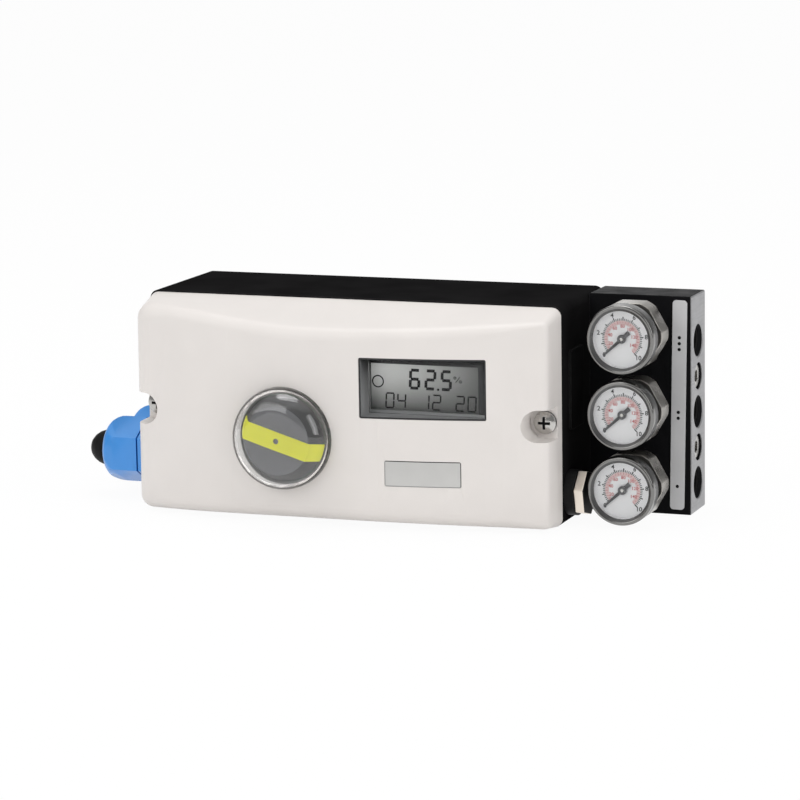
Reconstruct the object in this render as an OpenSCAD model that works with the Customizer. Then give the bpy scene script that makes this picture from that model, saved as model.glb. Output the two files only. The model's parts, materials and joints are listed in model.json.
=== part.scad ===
// Electro-pneumatic valve positioner with a gauge block.
// Millimetres. The origin is where the feedback shaft's axis meets the back face.
// X runs along the housing to the gauge block, Y to the back, Z up.

/* [Housing] */
// Length of the housing
body_len = 192.4; // [186:0.2:220]
// Height of the housing
body_h = 96.6; // [94:0.2:110]
// Depth of the housing from the back face to the cover joint
body_d = 61; // [61:1:75]
// Thickness of the top and bottom walls
wall = 5; // [4.5:0.5:6]
// Thickness of the end walls, which take the gland threads
end_wall = 12; // [11:0.5:14]
// Thickness of the back wall
back_wall = 5; // [4:0.5:5.5]
// Corner radius of the housing seen from the front
corner_r = 4; // [2:0.5:6]
// Distance of the shaft axis from the left end
shaft_from_left = 76; // [73:0.5:82]
// Height of the shaft axis above the base
shaft_from_base = 39.2; // [38:0.2:42]
// Standing height of the pad on the right end wall
pad_rise = 1; // [0.5:0.25:2]

/* [Cover] */
// Depth of the cover at the crown of its front
cover_d = 32; // [30:0.5:40]
// Radius of the front face seen from above
front_r = 330; // [310:5:420]
// Distance of the crown from the left end
crown_from_left = 87.4; // [80:0.2:95]
// Step from the top of the housing down to the cover
cover_step = 0.8; // [0:0.1:1.2]
// Fall of the top face for each millimetre of depth
top_fall = 0.28; // [0.2:0.02:0.34]
// Fall of the top face at the left end
left_fall = 0.08; // [0.04:0.02:0.2]
// Rise of the bottom face for each millimetre of depth
base_rise = 0.13; // [0.06:0.01:0.15]
// Rise of the bottom face at the left end
left_rise = 0.09; // [0.04:0.01:0.13]
// Radius of the crease round the front face
crease_r = 6; // [4:0.5:7]
// Radius of the upper left corner of the front
left_corner_r = 8.5; // [6:0.5:10]
// Radius of the right corners of the front
right_corner_r = 3; // [2:0.5:5]
// Wall thickness of the cover
cover_wall = 3.5; // [3:0.25:4.5]
// Height of the cover screws above the base
screw_from_base = 46.9; // [43:0.1:52]
// Distance of the cover screws from the ends
screw_from_end = 5.6; // [5:0.1:6]
// Radius of the open pockets for the cover screws
pocket_r = 7; // [6:0.25:7.25]

/* [Indicator] */
// Radius of the round hole for the indicator window
window_r = 22.4; // [20:0.2:25]
// How far the window dome stands out of the cover
dome_rise = 12.6; // [11:0.2:14]
// Edge radius of the window dome
dome_edge_r = 10.7; // [9:0.1:11.5]
// Wall thickness of the window dome
dome_wall = 1.6; // [1.4:0.1:2]
// How far the face of the indicator cap stays inside the window
cap_set_in = 7.4; // [7:0.1:9]
// Width of the indicator stripe
stripe_w = 8; // [6:0.5:10]
// Turn of the stripe at rest, clockwise from level
stripe_turn = 17; // [0:1:40]

/* [Display] */
// Width of the display window in the cover
lcd_w = 54.8; // [50:0.2:56]
// Height of the display window in the cover
lcd_h = 26.4; // [23:0.2:27]
// Distance of the display window from the right end
lcd_from_right = 26.5; // [24:0.5:30]
// Distance of the display window from the top
lcd_from_top = 20.8; // [19:0.2:24]
// Width of the name plate
plate_w = 33.2; // [28:0.2:38]
// Height of the name plate
plate_h = 11.3; // [9:0.1:14]
// Distance of the name plate from the right end
plate_from_right = 37.3; // [32:0.1:42]
// Height of the name plate's lower edge above the base
plate_from_base = 20.1; // [17:0.1:23]

/* [Shaft and gears] */
// Radius of the shaft's free end at the back
shaft_r = 5; // [4.5:0.1:6]
// Length of the shaft's free end at the back
shaft_reach = 18; // [14:1:30]
// Radius of the shaft in its bushes
journal_r = 4; // [3.6:0.1:4.2]
// Outer radius of the shaft bushes
bush_r = 6; // [5.5:0.1:7]
// Length of the bearing boss in the housing
boss_len = 22; // [20:0.5:23]
// Module of the gears
gear_mod = 1; // [0.8:0.1:1.1]
// Teeth of the shaft gear
gear_teeth = 40; // [36:2:42]
// Teeth of the sensor pinion
pinion_teeth = 20; // [18:2:22]
// Width of the gears
gear_w = 6; // [4:0.5:6.5]

/* [Mounting] */
// Spacing of the mounting holes along X
mount_dx = 60; // [54:1:66]
// Spacing of the mounting holes along Z
mount_dz = 50; // [46:1:54]
// Radius of the tapped mounting holes
mount_r = 3.4; // [2.5:0.1:4.2]
// Depth of the tapped mounting holes
mount_depth = 10; // [8:0.5:11]

/* [Electronics] */
// Distance of the circuit board from the back face
board_from_back = 48.4; // [48:0.2:50]
// Thickness of the circuit board
board_t = 1.6; // [1:0.2:2]
// Travel of the set-up buttons
button_travel = 0.8; // [0.4:0.1:1]
// Spacing of the set-up buttons
button_pitch = 12; // [11:0.5:13]

/* [Cable glands and vent] */
// Width across the flats of the glands
gland_af = 26; // [24:0.5:26.5]
// Radius of the gland thread
gland_r = 10; // [9:0.25:10.5]
// Height of the glands above the base
gland_from_base = 21; // [19:0.5:23]
// Distance of the front gland from the cover joint
gland_front = 13; // [13:0.25:14]
// Distance of the rear gland from the back face
gland_rear = 19.5; // [18:0.5:20]
// Length of the gland nut
nut_len = 18.2; // [17:0.2:22]
// Width across the flats of the vent plug
vent_af = 18; // [16:0.5:20]
// Distance of the vent from the cover joint
vent_from_joint = 10; // [10:0.25:12]
// Height of the vent above the base
vent_from_base = 13.8; // [12.5:0.1:16]

/* [Gauge block] */
// Width of the gauge block
block_w = 46.3; // [44:0.1:56]
// Depth of the gauge block
block_d = 21.4; // [20.4:0.1:26]
// Radius of the tapped air ports
port_r = 5.9; // [5:0.1:6.5]
// Length of the tapped wall of the air ports
port_len = 12.5; // [11:0.5:13.5]
// Spacing of the air ports
port_pitch = 31.65; // [30:0.05:33]
// Height of the lowest air port above the base
port_from_base = 12.6; // [11:0.1:14]
// Distance of the air ports from the back face
port_from_back = 10.5; // [10:0.1:11.5]

/* [Gauges] */
// Radius of the gauge bezels
gauge_r = 15; // [13:0.25:16]
// Spacing of the gauges
gauge_pitch = 32.9; // [32.2:0.1:33.8]
// Height of the lowest gauge above the base
gauge_from_base = 16.8; // [16:0.1:18]
// Distance of the gauges from the housing
gauge_from_wall = 25.3; // [25:0.1:27]
// Reach of the gauge faces from the block
gauge_reach = 37.6; // [36:0.2:48]
// Width across the flats of the gauge sockets
socket_af = 28; // [22:0.5:29]

/* [Hidden] */
$fn = 48;
// Radial gap of screwed and pushed-in pieces
fit = 0.05;
// Radial gap of turning and sliding pieces
run = 0.04;
// Small overlap that lets a cut pass a face
past = 1;

left = -shaft_from_left;
right = left + body_len;
base = -shaft_from_base;
top = base + body_h;
joint_y = -body_d;
cavity_x = [left + end_wall, right - end_wall];
cavity_z = [base + wall, top - wall];
cavity_r = 3;
crown_x = left + crown_from_left;
crown_y = joint_y - cover_d;
cover_top = top - cover_step;
axis_y = crown_y + front_r;
end_draft = 1;
crease_steps = 20;
crease_cuts = 6;
corner_run = 20;

pad_off_block = 11.6;
pad_below = 6;
pad_above = 29;
pad_r = 2;
pad_y = [joint_y + vent_from_joint, -block_d - pad_off_block];
pad_z = [base + screw_from_base - pad_below, base + screw_from_base + pad_above];
gasket_w = 2.4;
gasket_t = 2;
gasket_inset = 1;
screw_xs = [left + screw_from_end, right - screw_from_end];
screw_z = base + screw_from_base;
screw_r = 2.5;
screw_head_r = 5;
screw_head_t = 3.4;
screw_depth = 14;
screw_slack = 0.25;
pocket_floor = 5;
pocket_wall = 2;

window_seal_t = 1;
dome_flange_t = 2;
neck_r = window_r - fit;
dome_flange_r = window_r + 2.8;
window_boss_r = dome_flange_r + 1.8;
window_seat_y = max(front_y(-window_boss_r), front_y(window_boss_r)) + cover_wall;
dome_y = front_y(0) - dome_rise;
stripe_t = 0.4;
stripe_hole_r = 1.2;
cap_air = 3.1;
cap_side_air = 1.5;
cap_y = dome_y + dome_wall + cap_air;
cap_len = 7.6;
cap_r = window_r - cap_set_in;
cap_foot_r = neck_r - dome_wall - cap_side_air;
cap_wall = 2;
cap_hub_r = 6;

lcd_x = [right - lcd_from_right - lcd_w, right - lcd_from_right];
lcd_z = [top - lcd_from_top - lcd_h, top - lcd_from_top];
lcd_rim = 3;
lcd_seat_y = front_y(lcd_x[1] + lcd_rim) + cover_wall;
liner_t = 0.8;
liner_sink = 0.4;
lcd_flange_t = 1.5;
lcd_glass_t = 1;
lcd_air = 0.3;
lcd_panel_t = 6;
lcd_panel_lap = 1;
lcd_rim_gap = 0.5;
lcd_leg_r = 2;
lcd_step = 2;
lcd_ledge_y = lcd_seat_y - lcd_step;
lcd_margin_x = [1, 4.2];
lcd_margin_z = [2.2, 3.9];
view_x = [lcd_x[0] + lcd_margin_x[0], lcd_x[1] - lcd_margin_x[1]];
view_z = [lcd_z[0] + lcd_margin_z[0], lcd_z[1] - lcd_margin_z[1]];
plate_x = [right - plate_from_right - plate_w, right - plate_from_right];
plate_z = [base + plate_from_base, base + plate_from_base + plate_h];
plate_sink = 0.3;
plate_t = 0.8;

bush_flange_r = bush_r + 2;
bush_flange_t = 1.5;
bush_len = 9.5;
boss_wall = 5;
boss_r = bush_flange_r + boss_wall;
shaft_play = 0.1;
clip_t = 0.9;
clip_groove = 0.5;
clip_gap = 3;
clip_r = journal_r + 2.5;
clip_y = -boss_len - bush_flange_t - shaft_play - clip_t;
hub_len = 2;
hub_r = journal_r + 4;
gear_y = [clip_y - shaft_play - hub_len - gear_w, clip_y - shaft_play - hub_len];
tip_r = 3;
tip_cover = 2;
pressure_angle = 20;
backlash = 0.12;
gear_spread = 0.1;
gear_gap = gear_mod * (gear_teeth + pinion_teeth) / 2 + gear_spread;
mount_boss_r = 7.5;
mount_boss_len = 13;

board_y = [-board_from_back - board_t, -board_from_back];
board_left = 32;
board_room = [3, 2.5];
board_corner_r = 2;
board_x = [-board_left, cavity_x[1] - board_room[0]];
board_z = [cavity_z[0] + board_room[1], cavity_z[1] - board_room[1]];
post_r = 3.5;
post_in = 3;
post_short = 50;
posts = [
    [board_x[0] + post_in + 1, board_z[1] - post_in],
    [board_x[1] - post_in - 1, board_z[1] - post_in],
    [board_x[0] + post_in + 1, board_z[0] + post_in],
    [board_x[1] - post_short, board_z[0] + post_in]
];
board_screw_r = 1.5;
board_screw_len = 8;
board_screw_head_r = 2.8;
board_screw_head_t = 2;
board_hole_r = 5;
sensor_r = 9.5;
sensor_collar_r = 4.5;
sensor_y = [-board_from_back, gear_y[0] - 5];
sensor_collar_len = 3.5;
spindle_r = 3;
spindle_in = 8;
spindle_out = 1;
button_r = 4.5;
button_len = 11;
button_stem_r = 1.75;
button_stem_len = 3;
button_z = plate_z[1] - 1;
button_mid = (lcd_x[0] + lcd_x[1]) / 2;
switch_w = 10;
switch_t = 4;
pedestal_room = [4, 5, 2];
pedestal_from_base = 44.8;
pedestal_x = [cavity_x[0] + pedestal_room[0], board_x[0] - pedestal_room[1]];
pedestal_z = [base + pedestal_from_base, board_z[1] - pedestal_room[2]];
pedestal_y = -42;
terminal_t = 16;
terminal_ways = 6;
wire_in = 8;

valve_w = 43;
valve_front = 38;
valve_room = 1.5;
valve_passage_r = 1.4;
valve_x = [cavity_x[1] - valve_w, cavity_x[1]];
valve_y = [-valve_front, -back_wall];
valve_z = [cavity_z[0] + valve_room, posts[1][1] - post_r - valve_room];
spool_in = 20;
spool_offset = 2;
spool_x = valve_x[0] + spool_in;
spool_y = -port_from_back - spool_offset;
spool_r = 4;
spool_neck_r = 2.4;
spool_floor = 4;
spool_play = 2;
spool_head = 4;
spool_land = 8;
spool_plug_r = 6;
spool_plug_len = 5;
spool_z = [valve_z[0] + spool_floor + spool_play, valve_z[1] - spool_plug_len - spool_head];
ip_room = [4, 5];
ip_drop = 8;
ip_h = 38;
ip_t = 9;
ip_corner_r = 3;
ip_hole_in = 4;
ip_hole_r = 1.6;
ip_x = [valve_x[0] + ip_room[0], valve_x[1] - ip_room[1]];
ip_z = [valve_z[1] - ip_drop - ip_h, valve_z[1] - ip_drop];

gland_z = base + gland_from_base;
gland_ys = [joint_y + gland_front, -gland_rear];
gland_base = 8.8;
nut_gap = 0.6;
nut_thread = 9.5;
nut_thread_r = gland_r - 0.5;
nut_x = [left - gland_base - nut_gap - nut_len, left - gland_base - nut_gap];
nut_dome = 8;
nut_mouth_r = 6.5;
nut_lip = 5;
nut_end_r = 9;
plug_r = 6.15;
plug_head_r = 8.3;
plug_head_len = 9.7;
vent_y = joint_y + vent_from_joint;
vent_z = base + vent_from_base;
vent_r = 6;
vent_collar_r = 10;
vent_collar_t = 5.8;
vent_head_t = 3.2;
vent_turn = 15;
vent_bore_r = 2;

block_x = [right, right + block_w];
block_y = [-block_d, 0];
port_y = -port_from_back;
port_zs = [for (i = [0:2]) base + port_from_base + i * port_pitch];
port_chamfer = 1.6;
passage_r = 2.5;
block_screw_zs = [for (i = [0:1]) (port_zs[i] + port_zs[i + 1]) / 2];
block_screw_r = 3;
block_screw_head_r = 5;
block_screw_head_t = 6;
block_screw_sink = 7;
block_screw_key = 5;
seal_r = 0.74;
seal_ring_r = 4.9;
seal_depth = 1.5;
strip_from_end = 1.8;
strip_w = 6.5;
strip_t = 0.5;
strip_margins = [2.2, 1.7];
strip_corner = 0.45;

gauge_x = block_x[0] + gauge_from_wall;
gauge_zs = [for (i = [0:2]) base + gauge_from_base + i * gauge_pitch];
gauge_y = block_y[0] - gauge_reach;
bezel_len = 7.5;
bezel_lip = 1.2;
bezel_land = 2.6;
bezel_wall = 1.2;
bezel_edge = 0.9;
bezel_break = 0.4;
glass_t = 0.6;
case_r = gauge_r - bezel_wall - fit;
case_wall = 1.3;
case_floor = 1.2;
case_y = [gauge_y + bezel_lip + glass_t, gauge_y + bezel_len];
glass_y = [gauge_y + bezel_lip, case_y[0]];
dial_t = 0.5;
dial_sink = 2;
dial_y = case_y[0] + dial_sink;
dial_ledge = 1.2;
dial_hole_r = 0.58;
pointer_gap = 0.9;
pointer_y = dial_y - pointer_gap;
pointer_t = 0.4;
pointer_len = 0.74 * gauge_r;
pointer_widths = [2, 1.5, 0.5];
pointer_tail = 4.4;
pointer_hub_r = 1.9;
pointer_hub_lap = 0.3;
arbor_r = 0.5;
arbor_in = 0.4;
pointer_rest = 228;
tube_r = 0.7;
tube_inset = 6.4;
tube_ring_r = gauge_r - tube_inset;
tube_sweep = 280;
tube_start = 130;
stem_r = 4.85;
stem_in = 9.6;
stem_room = 0.4;
neck_socket_r = 6;
socket_neck_len = 5.1;
socket_hex_len = 10.4;
socket_shank_r = 6.5;
spigot_r = 3;
spigot_in = 1.1;
pressure_hole_r = 1.2;

// Y of the front face at x, or of a face set in from it
function front_y(x, inset = 0) = axis_y - sqrt(pow(front_r - inset, 2) - pow(x - crown_x, 2));

// Involute of an angle, in degrees
function involute(angle) = tan(angle) * 180 / PI - angle;

// Half the angle that a tooth fills at radius r
function half_tooth(r, pitch_r, teeth) =
    90 / teeth - backlash / pitch_r * 90 / PI + involute(pressure_angle)
    - involute(acos(min(1, pitch_r * cos(pressure_angle) / r)));

function on_circle(r, angle) = [r * cos(angle), r * sin(angle)];

// A span made smaller by a gap at both ends
function shrink(span, gap) = [span[0] + gap, span[1] - gap];

// Outline of a spur gear, one tooth after the other
function gear_outline(teeth, turn) =
    let (
        pitch_r = gear_mod * teeth / 2,
        foot_r = pitch_r - 1.25 * gear_mod,
        tip = pitch_r + 0.95 * gear_mod,
        first = max(foot_r, pitch_r * cos(pressure_angle)),
        radii = [foot_r, for (k = [0:3]) first + (tip - first) * k / 3]
    )
    [for (i = [0:teeth - 1])
        let (
            middle = turn + 360 / teeth * i,
            halves = [for (r = radii) half_tooth(max(r, first), pitch_r, teeth)]
        )
        each concat(
            [for (k = [0:len(radii) - 1]) on_circle(radii[k], middle - halves[k])],
            [for (k = [len(radii) - 1:-1:0]) on_circle(radii[k], middle + halves[k])]
        )];

// A box between pairs of coordinates
module box(x, y, z) {
    translate([x[0], y[0], z[0]])
        cube([x[1] - x[0], y[1] - y[0], z[1] - z[0]]);
}

// A rod along X, Y or Z between a pair of coordinates
module rod_x(r, x) {
    translate([x[0], 0, 0])
        rotate([0, 90, 0])
            cylinder(r = r, h = x[1] - x[0]);
}

module rod_y(r, y) {
    translate([0, y[0], 0])
        rotate([-90, 0, 0])
            cylinder(r = r, h = y[1] - y[0]);
}

module rod_z(r, z) {
    translate([0, 0, z[0]])
        cylinder(r = r, h = z[1] - z[0]);
}

// A solid turned about X or Y from a profile of radius and coordinate
module turned_x() {
    rotate([0, 90, 0])
        rotate_extrude()
            children();
}

module turned_y() {
    rotate([-90, 0, 0])
        rotate_extrude()
            children();
}

// A hexagon bar along X with corners up and down
module hex_x(af, x) {
    translate([x[0], 0, 0])
        rotate([0, 90, 0])
            cylinder(d = af / cos(30), h = x[1] - x[0], $fn = 6);
}

module rounded(x, z, r) {
    translate([x[0] + r, z[0]])
        square([x[1] - x[0] - 2 * r, z[1] - z[0]]);
    translate([x[0], z[0] + r])
        square([x[1] - x[0], z[1] - z[0] - 2 * r]);
    for (cx = [x[0] + r, x[1] - r], cz = [z[0] + r, z[1] - r])
        translate([cx, cz])
            circle(r);
}

// A plate facing the front, with rounded corners
module plate(x, z, r, y) {
    translate([0, y[1], 0])
        rotate([90, 0, 0])
            linear_extrude(y[1] - y[0])
                rounded(x, z, r);
}

// The drum that the front face lies on, or one set in from it
module front_drum(inset) {
    translate([crown_x, axis_y, base - past])
        cylinder(r = front_r - inset, h = body_h + 2 * past, $fn = 180);
}

// A plate facing the side, with rounded corners
module side_plate(y, z, r, x) {
    translate([x[0], 0, 0])
        rotate([90, 0, 90])
            linear_extrude(x[1] - x[0])
                rounded(y, z, r);
}

module at_mounts() {
    for (x = [-mount_dx, mount_dx] / 2, z = [-mount_dz, mount_dz] / 2)
        translate([x, 0, z])
            children();
}

module at_posts() {
    for (p = posts)
        translate([p[0], 0, p[1]])
            children();
}

module at_cover_screws() {
    for (x = screw_xs)
        translate([x, 0, screw_z])
            children();
}

module at_glands() {
    for (y = gland_ys)
        translate([0, y, gland_z])
            children();
}

module at_ports() {
    for (z = port_zs)
        translate([0, port_y, z])
            children();
}

module at_block_screws() {
    for (z = block_screw_zs)
        translate([0, port_y, z])
            children();
}

module at_gauges() {
    for (z = gauge_zs)
        translate([gauge_x, 0, z])
            children();
}

module at_vent() {
    translate([0, vent_y, vent_z])
        children();
}

module at_sensor() {
    translate([0, 0, gear_gap])
        children();
}

module gasket_ring(grow, y) {
    inner = gasket_inset - grow;
    outer = gasket_inset + gasket_w + grow;
    difference() {
        plate([cavity_x[0] - outer, cavity_x[1] + outer], [cavity_z[0] - outer, cavity_z[1] + outer],
            cavity_r + outer, y);
        plate([cavity_x[0] - inner, cavity_x[1] + inner], [cavity_z[0] - inner, cavity_z[1] + inner],
            cavity_r + inner, [y[0] - past, y[1] + past]);
    }
}

module housing_bosses() {
    rod_y(boss_r, [-boss_len, -back_wall / 2]);
    at_mounts()
        rod_y(mount_boss_r, [-mount_boss_len, -back_wall / 2]);
    at_posts()
        rod_y(post_r, [-board_from_back, -back_wall / 2]);
    box(pedestal_x, [pedestal_y, -back_wall / 2], pedestal_z);
}

module housing_holes() {
    rod_y(bush_r + fit, [-boss_len - past, past]);
    rod_y(bush_flange_r + fit, [-bush_flange_t - shaft_play, past]);
    at_mounts()
        rod_y(mount_r, [-mount_depth, past]);
    at_posts()
        rod_y(board_screw_r + fit, [-board_from_back - past, -board_from_back + board_screw_len]);
    at_cover_screws()
        rod_y(screw_r + fit, [joint_y - past, joint_y + screw_depth + past]);
    at_glands()
        rod_x(gland_r + fit, [left - past, cavity_x[0] + past]);
    at_vent()
        rod_x(vent_r + fit, [cavity_x[1] - past, right + past + pad_rise]);
    at_ports()
        rod_x(passage_r, [cavity_x[1] - past, right + past]);
    at_block_screws()
        rod_x(block_screw_r + fit, [cavity_x[1] + past, right + past]);
    gasket_ring(0, [joint_y - past, joint_y + gasket_t]);
}

module housing() {
    color([0.07, 0.07, 0.08])
        difference() {
            union() {
                difference() {
                    plate([left, right], [base, top], corner_r, [joint_y, 0]);
                    plate(cavity_x, cavity_z, cavity_r, [joint_y - past, -back_wall]);
                }
                housing_bosses();
                side_plate(pad_y, pad_z, pad_r, [right - past, right + pad_rise]);
            }
            housing_holes();
        }
}

// How far x is on the way from the left end to the crown, eased at both ends
function crown_share(x) =
    let (way = min(1, max(0, (x - left) / crown_from_left)))
    way * way * (3 - 2 * way);

// Points round the crease of the cover in one station, from its top or bottom face to its front or back.
// At an end the station is a slice of the corner ball, turned a degrees from the end wall.
function crease_arc(x, r, a, side, upper) =
    let (
        at_left = upper ? left_fall : left_rise,
        at_crown = upper ? top_fall : base_rise,
        fall = at_left + (at_crown - at_left) * crown_share(x),
        tilt = atan(fall),
        y = front_y(x) + r,
        drop = fall * (joint_y - y) + r * sqrt(1 + fall * fall),
        z = upper ? cover_top - drop : base + drop,
        start = upper ? tilt : 90
    )
    [for (k = [0:crease_cuts])
        let (turn = start + (90 - tilt) * k / crease_cuts)
        [x + side * r * cos(a), y - r * sin(a) * sin(turn), z + r * sin(a) * cos(turn)]];

// One station of the cover: joint edge, upper crease, lower crease, joint edge
function cover_station(x_up, r_up, x_low, r_low, a, side) =
    let (
        end_x = side < 0 ? left : right,
        edge_x = side == 0 ? x_up : end_x - side * corner_r * (1 - cos(a)),
        in = corner_r * (1 - sin(a))
    )
    concat(
        [[edge_x, joint_y, cover_top - in]],
        crease_arc(x_up, r_up, a, side, true),
        crease_arc(x_low, r_low, a, side, false),
        [[edge_x, joint_y, base + in]]
    );

function corner_x(r, side) = side < 0 ? left + end_draft + r : right - end_draft - r;

// The cover's outside, lofted through stations from the left end to the right
module cover_form() {
    x0 = left + corner_run;
    x1 = right - corner_run;
    turns = [10:20:90];
    turns_back = [90:-20:10];
    stations = concat(
        [for (a = turns) cover_station(corner_x(left_corner_r, -1), left_corner_r,
            corner_x(crease_r, -1), crease_r, a, -1)],
        [for (i = [0:crease_steps])
            let (x = x0 + (x1 - x0) * i / crease_steps)
            cover_station(x, crease_r, x, crease_r, 90, 0)],
        [for (a = turns_back) cover_station(corner_x(right_corner_r, 1), right_corner_r,
            corner_x(right_corner_r, 1), right_corner_r, a, 1)]
    );
    count = len(stations);
    ring = len(stations[0]);
    sides = [for (i = [0:count - 2], j = [0:ring - 2])
        let (p = i * ring + j)
        each [[p, p + ring, p + ring + 1], [p, p + ring + 1, p + 1]]];
    left_end = [for (j = [0:ring - 1]) j];
    right_end = [for (j = [ring - 1:-1:0]) (count - 1) * ring + j];
    joint = concat([for (i = [count - 1:-1:0]) i * ring], [for (i = [0:count - 1]) i * ring + ring - 1]);
    polyhedron([for (s = stations) each s], concat(sides, [left_end, right_end, joint]), convexity = 4);
}

module cover_cavity() {
    difference() {
        intersection() {
            plate(cavity_x, cavity_z, cavity_r, [crown_y, joint_y + past]);
            front_drum(cover_wall);
            translate([cavity_x[0], 0, 0])
                rotate([90, 0, 90])
                    linear_extrude(cavity_x[1] - cavity_x[0])
                        polygon([
                            [joint_y + past, cavity_z[0]],
                            [joint_y, cavity_z[0]],
                            [crown_y, cavity_z[0] + base_rise * cover_d],
                            [crown_y, cavity_z[1] - top_fall * cover_d],
                            [joint_y, cavity_z[1]],
                            [joint_y + past, cavity_z[1]]
                        ]);
        }
        rod_y(window_boss_r, [crown_y - past, window_seat_y]);
        plate([lcd_x[0] - lcd_rim, lcd_x[1] + lcd_rim], [lcd_z[0] - lcd_rim, lcd_z[1] + lcd_rim],
            lcd_rim / 2, [crown_y - past, lcd_seat_y]);
        at_cover_screws()
            rod_y(pocket_r + pocket_wall, [crown_y - past, joint_y + 2 * past]);
    }
}

module cover_cuts() {
    rod_y(window_r, [crown_y - past, joint_y]);
    plate(lcd_x, lcd_z, liner_t, [crown_y - past, joint_y]);
    difference() {
        plate(plate_x, plate_z, plate_t, [crown_y - past, joint_y]);
        front_drum(plate_sink + plate_t);
    }
    for (side = [0, 1])
        translate([screw_xs[side], 0, screw_z]) {
            rod_y(pocket_r, [crown_y - past, joint_y - pocket_floor]);
            box([side - 1, side] * (screw_from_end + past), [crown_y - past, joint_y - pocket_floor],
                [-pocket_r, pocket_r]);
            rod_y(screw_r + screw_slack, [joint_y - pocket_floor - past, joint_y + past]);
        }
}

module cover() {
    color([0.88, 0.86, 0.84])
        difference() {
            cover_form();
            cover_cavity();
            cover_cuts();
        }
}

module cover_gasket() {
    color([0.12, 0.12, 0.12])
        gasket_ring(-fit, [joint_y, joint_y + gasket_t]);
}

// A pan head screw along Y with a cross recess, its seat at y
module pan_screw(r, head_r, head_t, y, tip_y) {
    slot = head_r * 0.22;
    slot_len = head_r * 1.1;
    dome_r = head_r * 1.6;
    face_y = y - head_t;
    difference() {
        union() {
            rod_y(r, [y - head_t / 2, tip_y]);
            turned_y()
                intersection() {
                    translate([0, face_y])
                        square([head_r, head_t]);
                    translate([0, face_y + dome_r])
                        circle(dome_r);
                }
        }
        for (turn = [0, 90])
            rotate([0, turn, 0])
                box([-slot_len, slot_len] / 2, [face_y - past, face_y + head_t / 2], [-slot, slot] / 2);
    }
}

module cover_screws() {
    color("silver")
        at_cover_screws()
            pan_screw(screw_r, screw_head_r, screw_head_t, joint_y - pocket_floor, joint_y + screw_depth);
}

// Profile of the window dome, or of its inside
module dome_profile(r, edge_r, y, y_end) {
    translate([0, y + edge_r])
        square([r, y_end - y - edge_r]);
    translate([0, y])
        square([r - edge_r, edge_r]);
    translate([r - edge_r, y + edge_r])
        intersection() {
            circle(edge_r);
            translate([0, -edge_r])
                square(edge_r);
        }
}

module window_dome() {
    seat = window_seat_y + window_seal_t;
    color([0.85, 0.9, 0.92, 0.35])
        turned_y()
            difference() {
                union() {
                    dome_profile(neck_r, dome_edge_r, dome_y, seat + dome_flange_t);
                    translate([0, seat])
                        square([dome_flange_r, dome_flange_t]);
                }
                dome_profile(neck_r - dome_wall, dome_edge_r - dome_wall, dome_y + dome_wall,
                    seat + dome_flange_t + past);
            }
}

module window_seal() {
    color([0.1, 0.1, 0.1])
        difference() {
            rod_y(dome_flange_r, [window_seat_y, window_seat_y + window_seal_t]);
            rod_y(neck_r + fit, [window_seat_y - past, window_seat_y + window_seal_t + past]);
        }
}

// Profile of the indicator cap, or of a skin on it
module cap_profile(grow) {
    polygon([
        [0, cap_y - grow],
        [cap_r + grow, cap_y - grow],
        [cap_foot_r + grow, cap_y + cap_len],
        [0, cap_y + cap_len]
    ]);
}

module indicator_cap() {
    floor_y = cap_y + tip_cover + cap_wall;
    foot_y = cap_y + cap_len;
    color([0.44, 0.44, 0.46])
        turned_y()
            difference() {
                cap_profile(0);
                polygon([
                    [cap_hub_r, floor_y],
                    [cap_r - cap_wall, floor_y],
                    [cap_foot_r - cap_wall, foot_y + past],
                    [cap_hub_r, foot_y + past]
                ]);
                translate([0, cap_y + tip_cover])
                    square([tip_r + fit, cap_len]);
            }
}

module indicator_stripe() {
    color([0.88, 0.88, 0.22])
        rotate([0, stripe_turn, 0])
            intersection() {
                turned_y()
                    difference() {
                        cap_profile(stripe_t);
                        cap_profile(0);
                        translate([0, cap_y - stripe_t - past])
                            square([stripe_hole_r, stripe_t + 2 * past]);
                    }
                box([-2, 2] * cap_foot_r, [cap_y - past, cap_y + cap_len + past],
                    [-stripe_w, stripe_w] / 2);
            }
}

module feedback_shaft() {
    tip_y = cap_y + tip_cover;
    color([0.7, 0.71, 0.73])
        difference() {
            union() {
                rod_y(shaft_r, [0, shaft_reach]);
                rod_y(journal_r, [gear_y[0], past]);
                rod_y(tip_r, [tip_y, gear_y[0] + past]);
            }
            difference() {
                rod_y(journal_r + past, [clip_y - fit, clip_y + clip_t + fit]);
                rod_y(journal_r - clip_groove, [clip_y - past, clip_y + clip_t + past]);
            }
        }
}

// A flanged bush along Y, its flange at y and its sleeve towards dir
module bush(y, dir) {
    sleeve = [y, y + dir * bush_len];
    flange = [y, y + dir * bush_flange_t];
    difference() {
        union() {
            rod_y(bush_r, [min(sleeve), max(sleeve)]);
            rod_y(bush_flange_r, [min(flange), max(flange)]);
        }
        rod_y(journal_r + run, [min(sleeve) - past, max(sleeve) + past]);
    }
}

module shaft_bushes() {
    color([0.72, 0.56, 0.3]) {
        bush(-shaft_play, -1);
        bush(-boss_len - bush_flange_t, 1);
    }
}

module shaft_clip() {
    color([0.3, 0.3, 0.32])
        difference() {
            rod_y(clip_r, [clip_y, clip_y + clip_t]);
            rod_y(journal_r - clip_groove + fit, [clip_y - past, clip_y + clip_t + past]);
            box([0, clip_r + past], [clip_y - past, clip_y + clip_t + past], [-clip_gap, clip_gap] / 2);
        }
}

module gear(teeth, turn) {
    translate([0, gear_y[1], 0])
        rotate([90, 0, 0])
            linear_extrude(gear_w)
                polygon(gear_outline(teeth, turn));
}

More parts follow.
